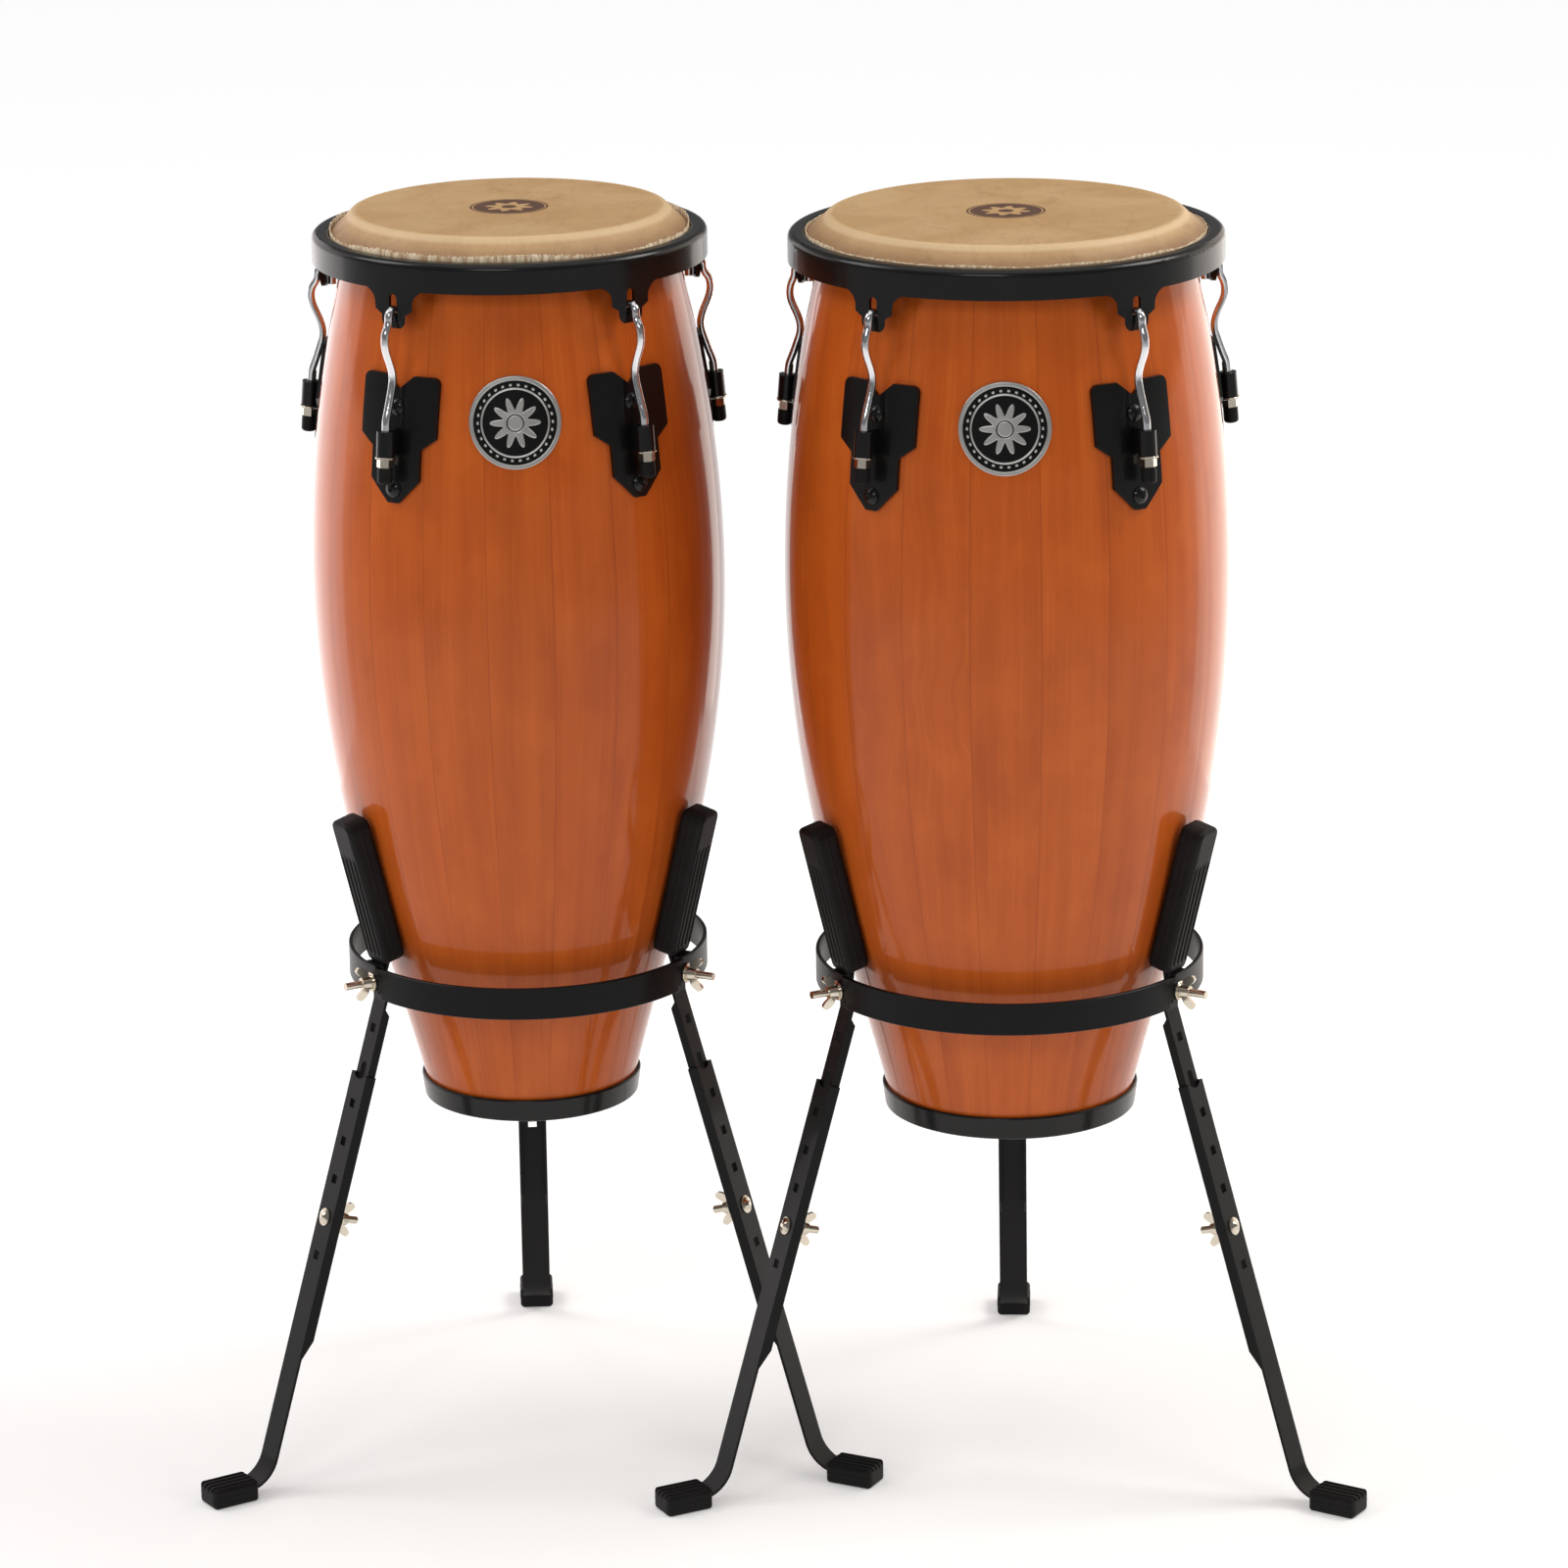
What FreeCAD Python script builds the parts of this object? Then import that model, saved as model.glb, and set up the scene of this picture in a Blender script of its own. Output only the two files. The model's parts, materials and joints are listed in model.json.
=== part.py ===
import FreeCAD, Part
import math
import os
import Sketcher

# Pair of conga drums, each resting in its own three-legged basket stand.
# Every drum and stand is drawn about its own axis: the origin is on the floor,
# +Z is up and -Y is the front.  A repeated piece is drawn once, standing on the
# +X side, and then copied to its azimuths, which are counted from the front.
# Lengths are in millimetres and angles in degrees.

doc = FreeCAD.newDocument("CongaDrums")

# ---------------------------------------------------------------- sizes

# Sizes that both drums share
common = {
    # drum shell
    "shellTall": 712.8, "staveCount": 20, "wallThick": 11.0, "bearing": 5.0,
    "kneeUp": 120.0, "bellyUp": 420.0, "lowerCurve": 1097.0, "upperCurve": 1129.0,
    "bandTall": 18.0, "bandThick": 3.6,
    # skin and tuning hardware
    "skinThick": 2.0, "skinTop": 715.0, "edgeRound": 4.0,
    "rimThick": 3.0, "rimSkirt": 22.5, "earDrop": 51.5, "lipThick": 3.5, "lipWide": 12.9,
    "hoopWire": 4.3, "hookWire": 3.175, "hookLean": 5.0, "tuneTravel": 4.0,
    "eyeOuter": 7.0, "eyeBore": 3.8, "eyeTall": 19.5, "nutAcross": 11.1, "nutTall": 6.4,
    "washerThick": 1.5, "washerOuter": 7.75, "capOuter": 5.8, "capTall": 12.6,
    # lug plates
    "plateTop": 610.7, "plateTall": 99.0, "plateWing": 34.5, "plateBody": 22.0,
    "plateThick": 3.0, "screwHead": 6.5, "screwShank": 3.0,
    "screwUpper": 24.0, "screwLower": 86.0,
    # badge
    "badgeOuter": 35.0, "badgeBorder": 3.5, "badgeThick": 1.2,
    # stand
    "drumLift": 289.0, "ringLow": 392.0, "ringTall": 25.0, "ringThick": 3.0,
    "boltUp": 12.0, "boltRadius": 3.0, "boltHead": 10.0, "stripThick": 2.4, "bracketThick": 2.4,
    "legLean": 17.2, "upperWide": 18.0, "upperDepth": 7.0, "upperLong": 205.0,
    "lowerWide": 23.0, "lowerDepth": 9.0, "lowerThick": 2.2, "lowerTop": 64.0,
    "flangeLong": 296.0, "holeSide": 7.0, "holePitch": 31.2, "holeFirst": 88.0,
    "lockHole": 3, "slotTop": 53.0, "slotLow": 196.0,
    "padLean": 14.1, "padWide": 30.0, "padThick": 20.0, "padLong": 124.0, "padUp": 5.4,
    "footWide": 28.0, "footTall": 17.0, "footLong": 40.0, "bendRadius": 28.0,
    "barUp": 10.2, "legInset": 4.5, "footInset": 9.5,
    # clearances
    "runGap": 0.05, "slideGap": 0.3, "seatGap": 0.1, "padGap": 0.8, "screwGap": 0.2,
}

# Sizes of the smaller drum (10 inch head) and of the larger one (11 inch head)
small = {
    "baseRadius": 80.2, "kneeRadius": 112.0, "bellyRadius": 162.1, "topRadius": 121.5,
    "skinFlat": 122.8, "collarRadius": 138.2, "rimOuter": 152.4, "rimTop": 699.5,
    "capOut": 7.5, "capUp": 530.8, "badgeUp": 578.5,
    "ringRoom": 24.2,
}
large = {
    "baseRadius": 93.9, "kneeRadius": 125.5, "bellyRadius": 172.9, "topRadius": 137.0,
    "skinFlat": 137.5, "collarRadius": 152.8, "rimOuter": 167.2, "rimTop": 702.0,
    "capOut": 10.1, "capUp": 536.4, "badgeUp": 581.6,
    "ringRoom": 21.6,
}

# Where the two axes stand.  The shift that puts the whole pair over the origin
# is worked out at the end.
layout = {
    "spacing": 381.0, "stagger": 46.0, "turn": 2.6, "shiftX": 0.0, "shiftY": 0.0,
}


def writeSheet(name, values):
    sheet = doc.addObject("Spreadsheet::Sheet", name)
    for row, (alias, value) in enumerate(values.items(), start=1):
        sheet.set("A%d" % row, alias)
        sheet.set("B%d" % row, str(value))
        sheet.setAlias("B%d" % row, alias)
    return sheet


sheets = {
    "common": writeSheet("common", common),
    "small": writeSheet("small", small),
    "large": writeSheet("large", large),
    "layout": writeSheet("layout", layout),
}
doc.recompute()


class Size:
    """A number that remembers the spreadsheet formula it comes from."""

    def __init__(self, value, formula):
        self.value = float(value)
        self.formula = formula

    def __add__(self, other):
        return joined(self, "+", other)

    def __radd__(self, other):
        return joined(other, "+", self)

    def __sub__(self, other):
        return joined(self, "-", other)

    def __rsub__(self, other):
        return joined(other, "-", self)

    def __mul__(self, other):
        return joined(self, "*", other)

    def __rmul__(self, other):
        return joined(other, "*", self)

    def __truediv__(self, other):
        return joined(self, "/", other)

    def __neg__(self):
        return joined(0, "-", self)


def number(item):
    return item.value if isinstance(item, Size) else float(item)


def text(item):
    return item.formula if isinstance(item, Size) else "%.6g" % item


def joined(first, sign, second):
    left = number(first)
    right = number(second)
    results = {
        "+": left + right,
        "-": left - right,
        "*": left * right,
        "/": left / right if right else 0.0,
    }
    return Size(results[sign], "(%s %s %s)" % (text(first), sign, text(second)))


def sine(angle):
    return Size(math.sin(math.radians(number(angle))), "sin(%s)" % text(angle))


def cosine(angle):
    return Size(math.cos(math.radians(number(angle))), "cos(%s)" % text(angle))


def tangent(angle):
    return Size(math.tan(math.radians(number(angle))), "tan(%s)" % text(angle))


class Sizes:
    """Reads a sheet's cells as attributes, each one a Size."""

    def __init__(self, sheetName, values):
        self.sheetName = sheetName
        self.values = values

    def __getattr__(self, alias):
        return Size(self.values[alias], "%s.%s" % (self.sheetName, alias))


c = Sizes("common", common)

# ---------------------------------------------------------------- drawing helpers

SIDE = FreeCAD.Rotation(FreeCAD.Vector(1, 0, 0), 90)        # sketch in the X-Z plane
FACING = FreeCAD.Rotation(FreeCAD.Vector(1, 1, 1), 120)     # sketch in the Y-Z plane
FLAT = FreeCAD.Rotation()                                   # sketch in the X-Y plane


def bind(item, prop, size):
    """Sets a property by formula where the size has one, else by number."""
    if isinstance(size, Size):
        item.setExpression(prop, size.formula)
    else:
        setattr(item, prop, size)


def place(item, x=0.0, y=0.0, z=0.0, axis=(0, 1, 0), angle=0.0):
    """Places an object; every coordinate may be a Size."""
    base = FreeCAD.Vector(number(x), number(y), number(z))
    turn = FreeCAD.Rotation(FreeCAD.Vector(*axis), number(angle))
    item.Placement = FreeCAD.Placement(base, turn)
    for letter, value in zip("xyz", (x, y, z)):
        if isinstance(value, Size):
            item.setExpression("Placement.Base." + letter, value.formula)
    if isinstance(angle, Size):
        item.setExpression("Placement.Rotation.Angle", angle.formula)
    return item


def drawOutline(sketch, points):
    """Draws a closed outline, listed counter-clockwise, and pins every corner.

    A point is (across, up) or (across, up, radius).  The radius bends the edge
    that leads to the point: outwards when positive, inwards when negative.
    """
    count = len(points)
    flat = [(number(p[0]), number(p[1])) for p in points]
    ends = []
    for index in range(count):
        start = FreeCAD.Vector(flat[index - 1][0], flat[index - 1][1], 0)
        stop = FreeCAD.Vector(flat[index][0], flat[index][1], 0)
        if len(points[index]) == 2:
            edge = sketch.addGeometry(Part.LineSegment(start, stop), False)
            ends.append((edge, 1, 2))
            continue
        radius = number(points[index][2])
        middle = (start + stop) * 0.5
        chord = stop - start
        left = FreeCAD.Vector(-chord.y, chord.x, 0).normalize()
        side = 1.0 if radius > 0 else -1.0
        rise = abs(radius) - math.sqrt(max(radius ** 2 - (chord.Length / 2) ** 2, 0.0))
        crown = middle - left * (side * rise)
        if radius > 0:
            edge = sketch.addGeometry(Part.Arc(start, crown, stop), False)
            ends.append((edge, 1, 2))
        else:
            edge = sketch.addGeometry(Part.Arc(stop, crown, start), False)
            ends.append((edge, 2, 1))
        pin = sketch.addConstraint(Sketcher.Constraint("Radius", edge, abs(radius)))
        if isinstance(points[index][2], Size):
            size = points[index][2] if radius > 0 else -points[index][2]
            sketch.setExpression("Constraints[%d]" % pin, size.formula)
    for index in range(count):
        edge, _, last = ends[index]
        following, first, _ = ends[(index + 1) % count]
        sketch.addConstraint(Sketcher.Constraint("Coincident", edge, last, following, first))
        for kind, level, size in zip(("DistanceX", "DistanceY"), ("Vertical", "Horizontal"),
                                     points[index][:2]):
            if not isinstance(size, Size) and size == 0:
                sketch.addConstraint(Sketcher.Constraint(level, -1, 1, edge, last))
                continue
            pin = sketch.addConstraint(
                Sketcher.Constraint(kind, -1, 1, edge, last, number(size)))
            if isinstance(size, Size):
                sketch.setExpression("Constraints[%d]" % pin, size.formula)


def lathe(name, points, sweep=360.0):
    """Turned piece: a Body whose (radius, height) outline goes round Z."""
    body = doc.addObject("PartDesign::Body", name)
    sketch = body.newObject("Sketcher::SketchObject", name + "Outline")
    plane = [f for f in body.Origin.OriginFeatures if f.Role == "XZ_Plane"][0]
    sketch.AttachmentSupport = (plane, [""])
    sketch.MapMode = "FlatFace"
    drawOutline(sketch, points)
    turned = body.newObject("PartDesign::Revolution", name + "Turned")
    turned.Profile = sketch
    turned.ReferenceAxis = (sketch, ["V_Axis"])
    turned.Angle = sweep
    turned.Midplane = True
    body.Tip = turned
    return body


def prism(name, points, rotation, length, start=0.0, middle=True):
    """Outline pulled straight: about its plane, or from a start distance on."""
    sketch = doc.addObject("Sketcher::SketchObject", name + "Outline")
    sketch.Placement = FreeCAD.Placement(FreeCAD.Vector(number(start), 0, 0), rotation)
    if isinstance(start, Size):
        sketch.setExpression("Placement.Base.x", start.formula)
    drawOutline(sketch, points)
    pulled = doc.addObject("Part::Extrusion", name)
    pulled.Base = sketch
    pulled.DirMode = "Normal"
    pulled.Solid = True
    pulled.Symmetric = middle
    bind(pulled, "LengthFwd", length)
    return pulled


def block(name, long, wide, tall):
    item = doc.addObject("Part::Box", name)
    bind(item, "Length", long)
    bind(item, "Width", wide)
    bind(item, "Height", tall)
    return item


def rod(name, radius, tall):
    item = doc.addObject("Part::Cylinder", name)
    bind(item, "Radius", radius)
    bind(item, "Height", tall)
    return item


def hexagon(name, across, tall):
    """Six-sided prism, given across its flats."""
    item = doc.addObject("Part::Prism", name)
    item.Polygon = 6
    bind(item, "Circumradius", across / (2 * cosine(30)))
    bind(item, "Height", tall)
    return item


def fuse(name, items):
    item = doc.addObject("Part::MultiFuse", name)
    item.Shapes = items
    return item


def cut(name, base, tool):
    item = doc.addObject("Part::Cut", name)
    item.Base = base
    item.Tool = tool
    return item


def overlap(name, items):
    item = doc.addObject("Part::MultiCommon", name)
    item.Shapes = items
    return item


def group(name, items):
    item = doc.addObject("Part::Compound", name)
    item.Links = items
    return item


def copies(name, master, azimuths):
    """Links of a piece drawn on the +X side, turned to the given azimuths."""
    links = []
    for index, azimuth in enumerate(azimuths):
        link = doc.addObject("App::Link", "%sCopy%d" % (name, index))
        link.setLink(master)
        link.LinkTransform = True
        turn = FreeCAD.Rotation(FreeCAD.Vector(0, 0, 1), azimuth - 90)
        link.Placement = FreeCAD.Placement(FreeCAD.Vector(0, 0, 0), turn)
        links.append(link)
    return group(name, links)


# ---------------------------------------------------------------- one drum and its stand

nodes = []
lugAzimuths = [36, 108, 180, -108, -36]
legAzimuths = {"right": 60, "left": -60, "rear": 180}


def keep(item, label, side):
    """Names a finished sub-part and moves it to its drum's place in the pair."""
    item.Label = label
    sign = -1 if side == "small" else 1
    place(
        item,
        x=Sizes("layout", layout).spacing * (sign * 0.5) - Sizes("layout", layout).shiftX,
        y=Sizes("layout", layout).stagger * (-sign * 0.5) - Sizes("layout", layout).shiftY,
        axis=(0, 0, -sign),
        angle=Sizes("layout", layout).turn,
    )
    nodes.append(item)


def shellRadius(d, up):
    """Outer radius of the shell at a height, from the arcs of its outline."""
    knee = (d.kneeRadius.value, c.kneeUp.value)
    belly = (d.bellyRadius.value, c.bellyUp.value)
    top = (d.topRadius.value, c.shellTall.value - c.bearing.value)
    if up <= knee[1]:
        share = up / knee[1]
        return d.baseRadius.value + share * (knee[0] - d.baseRadius.value)
    if up <= belly[1]:
        first, last, bend = knee, belly, c.lowerCurve.value
    else:
        first, last, bend = belly, top, c.upperCurve.value
    across, along = last[0] - first[0], last[1] - first[1]
    chord = math.hypot(across, along)
    reach = math.sqrt(bend ** 2 - (chord / 2) ** 2)
    centreAcross = (first[0] + last[0]) / 2 - along / chord * reach
    centreUp = (first[1] + last[1]) / 2 + across / chord * reach
    return centreAcross + math.sqrt(bend ** 2 - (up - centreUp) ** 2)


def shellTilt(d, up):
    """How far the shell's outward normal points up at a height, in degrees."""
    return math.degrees(math.atan((shellRadius(d, up - 1) - shellRadius(d, up + 1)) / 2))


def ontoShell(item, d, up, depth):
    """Stands a piece on the shell: its Z points outwards from a depth under the surface."""
    tilt = shellTilt(d, number(up))
    offset = d.bellyRadius.value - shellRadius(d, number(up))
    return place(item, x=d.bellyRadius - offset - depth * cosine(tilt),
                 z=c.drumLift + up - depth * sine(tilt), angle=90.0 - tilt)


def buildDrum(side, values, mark):
    """Shell, skin and tuning hardware.  Heights count from the drum's base."""
    d = Sizes(side, values)
    low = c.drumLift

    def named(word):
        return word + mark.upper()

    # staves: every fourth one carries a lug plate and is drilled for its screws
    bearing = c.bearing
    wall = c.wallThick
    outline = [
        (d.baseRadius - wall, low),
        (d.baseRadius, low),
        (d.kneeRadius, low + c.kneeUp),
        (d.bellyRadius, low + c.bellyUp, c.lowerCurve),
        (d.topRadius, low + c.shellTall - bearing, c.upperCurve),
        (d.topRadius - bearing, low + c.shellTall, bearing),
        (d.topRadius - wall + 3, low + c.shellTall),
        (d.topRadius - wall, low + c.shellTall - 3, 3.0),
        (d.bellyRadius - wall, low + c.bellyUp, -c.upperCurve),
        (d.kneeRadius - wall, low + c.kneeUp, -c.lowerCurve),
    ]
    stave = lathe(named("stave"), outline, 360.0 / c.staveCount.value)
    stave.Tip.setExpression("Angle", "360 / common.staveCount")
    screwHeights = [c.plateTop - c.screwUpper, c.plateTop - c.screwLower]

    def screwDrills(word):
        """Two drills through the shell, one for each screw of a lug plate."""
        drills = []
        for index, height in enumerate(screwHeights):
            drill = rod(named("%s%d" % (word, index)), c.screwShank + c.screwGap, 90)
            ontoShell(drill, d, height, 50)
            drills.append(drill)
        return drills

    drilled = cut(named("drilledStave"), stave, group(named("drills"), screwDrills("drill")))
    step = 360.0 / c.staveCount.value
    azimuths = [index * step for index in range(int(c.staveCount.value))]
    lugTurns = [azimuth % 360 for azimuth in lugAzimuths]
    plain = [a for a in azimuths if min(abs(a - t) for t in lugTurns) > 0.5]
    plainStaves = copies(named("plainStaves"), stave, plain)
    lugStaves = copies(named("lugStaves"), drilled, lugAzimuths)
    staves = group(named("staves"), plainStaves.Links + lugStaves.Links)
    keep(staves, "staves_" + mark, side)

    # band round the foot of the shell
    slope = (d.kneeRadius - d.baseRadius) / c.kneeUp
    bandTop = d.baseRadius + slope * c.bandTall
    band = lathe(named("band"), [
        (d.baseRadius + c.seatGap, low),
        (d.baseRadius + c.bandThick, low),
        (d.baseRadius + c.bandThick + 1.5, low + 1.5, 1.6),
        (bandTop + c.bandThick - 1.2, low + c.bandTall - 1.2),
        (bandTop + c.bandThick - 2.4, low + c.bandTall, 1.6),
        (bandTop + c.seatGap, low + c.bandTall),
    ])
    keep(band, "base_band_" + mark, side)

    # skin: flat head, rounded over the bearing edge and sloping out as a collar
    top = low + c.skinTop
    under = top - c.skinThick
    skin = lathe(named("skin"), [
        (0, under),
        (d.skinFlat - 3.0, under),
        (d.skinFlat + 0.4, under - 1.6, -c.edgeRound),
        (d.collarRadius - 2.6, low + d.rimTop - 1.2),
        (d.collarRadius - 2.0, low + d.rimTop - 13.0),
        (d.collarRadius, low + d.rimTop - 13.0),
        (d.collarRadius, low + d.rimTop - 1.5),
        (d.skinFlat + 1.6, top - 2.2),
        (d.skinFlat - 3.0, top, c.edgeRound + c.skinThick),
        (0, top),
    ])
    keep(skin, "skin_" + mark, side)

    # rim: rolled top, skirt, five scalloped ears with a slot for the hook
    rimTop = low + d.rimTop
    earLow = rimTop - c.earDrop
    inner = d.rimOuter - c.rimThick
    hoopShape = lathe(named("rimTurned"), [
        (inner, earLow),
        (d.rimOuter, earLow),
        (d.rimOuter, rimTop - 5),
        (d.rimOuter - 5, rimTop, 5.0),
        (d.rimOuter - c.lipWide + 2, rimTop),
        (d.rimOuter - c.lipWide, rimTop - 2, 2.0),
        (d.rimOuter - c.lipWide, rimTop - c.lipThick),
        (inner - 2, rimTop - c.lipThick),
        (inner, rimTop - c.lipThick - 2, -2.0),
    ])
    pitch = d.rimOuter * sine(36)                  # gap centre to ear centre, across
    skirt = rimTop - c.rimSkirt
    narrow = pitch - 9.0
    ledge = pitch - 14.5
    wide = pitch - 22.0
    gapShape = prism(named("rimGap"), [
        (-narrow - 6, earLow - 1, -8.0),
        (narrow + 6, earLow - 1),
        (narrow, earLow + 6, -8.0),
        (narrow, earLow + 10),
        (ledge, earLow + 14),
        (ledge, earLow + 17),
        (wide, skirt, 12.0),
        (-wide, skirt),
        (-ledge, earLow + 17, 12.0),
        (-ledge, earLow + 14),
        (-narrow, earLow + 10),
        (-narrow, earLow + 6),
    ], FACING, 60, start=d.rimOuter - 45, middle=False)
    hookUp = earLow + 8.0                          # where the hook turns over, centre line
    slotWide = 2 * c.hookWire + 0.85
    slotLow = hookUp + 5.2 - c.hookWire
    slotTall = 12.4
    slot = block(named("rimSlot"), 20, slotWide, slotTall)
    place(slot, x=inner - 8, y=slotWide * -0.5, z=slotLow)
    arch = rod(named("rimArch"), slotWide / 2, 20)
    place(arch, x=inner - 8, z=slotLow + slotTall, angle=90)
    gaps = copies(named("rimGaps"), gapShape, [0, 72, 144, 216, 288])
    slots = copies(named("rimSlots"), fuse(named("rimOpening"), [slot, arch]), lugAzimuths)
    rim = cut(named("rim"), hoopShape, group(named("rimTools"), [gaps, slots]))
    keep(rim, "rim_" + mark, side)

    # flesh hoop inside the rim
    hoop = doc.addObject("Part::Torus", named("hoop"))
    bind(hoop, "Radius1", inner - 1.2 - c.hoopWire)
    bind(hoop, "Radius2", c.hoopWire)
    lifted = place(hoop, z=rimTop - c.lipThick - c.hoopWire - 0.1)
    keep(group(named("hoopLifted"), [lifted]), "flesh_hoop_" + mark, side)

    # the hook's lower end leans out; its frame starts at the cap's lower end
    lean = c.hookLean
    capRadius = d.bellyRadius + d.capOut
    capZ = low + d.capUp

    def onHook(item, along):
        return place(item, x=capRadius - along * sine(lean), z=capZ + along * cosine(lean),
                     axis=(0, -1, 0), angle=lean)

    nutLow = c.capTall + 0.2
    washerLow = nutLow + c.nutTall + c.runGap
    eyeLow = washerLow + c.washerThick + c.runGap

    # tuning hook: J over the ear, waved shank, straight lower end
    path = doc.addObject("Sketcher::SketchObject", named("hookPath"))
    path.Placement = FreeCAD.Placement(FreeCAD.Vector(0, 0, 0), SIDE)
    rodLow = 2.0
    rodHigh = number(eyeLow + c.eyeTall + c.tuneTravel) + 1.0
    sinLean, cosLean = sine(lean).value, cosine(lean).value
    footPoint = FreeCAD.Vector(capRadius.value - rodLow * sinLean,
                               capZ.value + rodLow * cosLean, 0)
    bendPoint = FreeCAD.Vector(capRadius.value - rodHigh * sinLean,
                               capZ.value + rodHigh * cosLean, 0)
    outside = d.rimOuter.value + 5.6
    inside = d.rimOuter.value - 6.6
    hookTop = hookUp.value
    rise = hookTop - bendPoint.y
    wave = [(0.11, -2.6), (0.28, -7.6), (0.43, -10.4), (0.58, -7.2), (0.75, -2.2), (0.88, -3.6)]
    waypoints = [bendPoint]
    for share, offset in wave:
        waypoints.append(FreeCAD.Vector(bendPoint.x + offset, bendPoint.y + share * rise, 0))
    waypoints.append(FreeCAD.Vector(outside, hookTop, 0))
    shank = Part.BSplineCurve()
    shank.interpolate(Points=waypoints,
                      InitialTangent=FreeCAD.Vector(-sinLean, cosLean, 0) * 10,
                      FinalTangent=FreeCAD.Vector(0, 1, 0) * 10)
    centreX = (outside + inside) / 2
    crown = FreeCAD.Vector(centreX, hookTop + (outside - inside) / 2, 0)
    tip = FreeCAD.Vector(inside, hookTop, 0)
    pieces = [
        Part.LineSegment(footPoint, bendPoint),
        shank,
        Part.Arc(waypoints[-1], crown, tip),
        Part.LineSegment(tip, FreeCAD.Vector(inside, hookTop - 7, 0)),
    ]
    for piece in pieces:
        edge = path.addGeometry(piece, False)
        path.addConstraint(Sketcher.Constraint("Block", edge))
    section = doc.addObject("Sketcher::SketchObject", named("hookSection"))
    circle = section.addGeometry(
        Part.Circle(FreeCAD.Vector(0, 0, 0), FreeCAD.Vector(0, 0, 1), c.hookWire.value), False)
    section.addConstraint(Sketcher.Constraint("Coincident", circle, 3, -1, 1))
    pin = section.addConstraint(Sketcher.Constraint("Radius", circle, c.hookWire.value))
    section.setExpression("Constraints[%d]" % pin, c.hookWire.formula)
    onHook(section, rodLow)
    hook = doc.addObject("Part::Sweep", named("hook"))
    hook.Sections = [section]
    hook.Spine = (path, ["Edge1", "Edge2", "Edge3", "Edge4"])
    hook.Solid = True
    hook.Frenet = False
    keep(copies(named("hooks"), hook, lugAzimuths), "tuning_hooks_" + mark, side)

    # rubber cap on the hook's end
    cap = lathe(named("cap"), [
        (0, 0),
        (c.capOuter - 2.5, 0),
        (c.capOuter, 2.5, 2.5),
        (c.capOuter, c.capTall - 0.6),
        (c.capOuter - 0.6, c.capTall),
        (c.hookWire, c.capTall),
        (c.hookWire, rodLow),
        (0, rodLow),
    ])
    onHook(cap, 0.0)
    keep(copies(named("caps"), cap, lugAzimuths), "hook_caps_" + mark, side)

    # tuning nut and its washer under the eye
    washer = lathe(named("washer"), [
        (c.eyeBore, washerLow),
        (c.washerOuter - 0.3, washerLow),
        (c.washerOuter, washerLow + 0.3),
        (c.washerOuter, washerLow + c.washerThick - 0.3),
        (c.washerOuter - 0.3, washerLow + c.washerThick),
        (c.eyeBore, washerLow + c.washerThick),
    ])
    onHook(washer, 0.0)
    nutBody = hexagon(named("nutBody"), c.nutAcross, c.nutTall)
    onHook(nutBody, nutLow)
    nutBore = rod(named("nutBore"), c.eyeBore, c.nutTall + 2)
    onHook(nutBore, nutLow - 1)
    nut = cut(named("nut"), nutBody, nutBore)
    nuts = group(named("nutSet"), [nut, washer])
    keep(copies(named("nuts"), nuts, lugAzimuths), "tuning_nuts_" + mark, side)

    # lug plate bent round the shell, with a strap eye for the hook
    plateHigh = low + c.plateTop
    plateLow = plateHigh - c.plateTall
    sheet = lathe(named("plateSheet"), bandOutline(d, low, c.plateTop - 104,
                                                   c.plateTop + 4, c.seatGap,
                                                   c.seatGap + c.plateThick))
    face = prism(named("plateFace"), [
        (5, plateLow + 2.6),
        (c.plateBody, plateLow + 20),
        (c.plateBody, plateHigh - 55),
        (c.plateWing, plateHigh - 46),
        (c.plateWing, plateHigh - 6),
        (c.plateWing - 6, plateHigh, 6.0),
        (13, plateHigh),
        (1.5, plateHigh - 9.5),
        (-1.5, plateHigh - 9.5, -2.2),
        (-13, plateHigh),
        (6 - c.plateWing, plateHigh),
        (-c.plateWing, plateHigh - 6, 6.0),
        (-c.plateWing, plateHigh - 46),
        (-c.plateBody, plateHigh - 55),
        (-c.plateBody, plateLow + 20),
        (-5, plateLow + 2.6),
        ], FACING, 90, start=d.bellyRadius - 60, middle=False)
    plate = overlap(named("platePlain"), [sheet, face])
    strapStart = shellRadius(d, number(d.capUp + eyeLow)) + c.seatGap.value + 0.6
    strap = block(named("strap"), capRadius - strapStart - 3, 5.2, c.eyeTall)
    place(strap, x=strapStart, y=-2.6, z=capZ + eyeLow)
    tube = rod(named("tube"), c.eyeOuter, c.eyeTall)
    onHook(tube, eyeLow)
    bore = rod(named("bore"), c.eyeBore, c.eyeTall + 6)
    onHook(bore, eyeLow - 3)
    lug = fuse(named("lugWhole"), [plate, strap, tube])
    lugCut = cut(named("lug"), lug, group(named("lugTools"), [bore] + screwDrills("plateHole")))
    keep(copies(named("lugs"), lugCut, lugAzimuths), "side_plates_" + mark, side)

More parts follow.
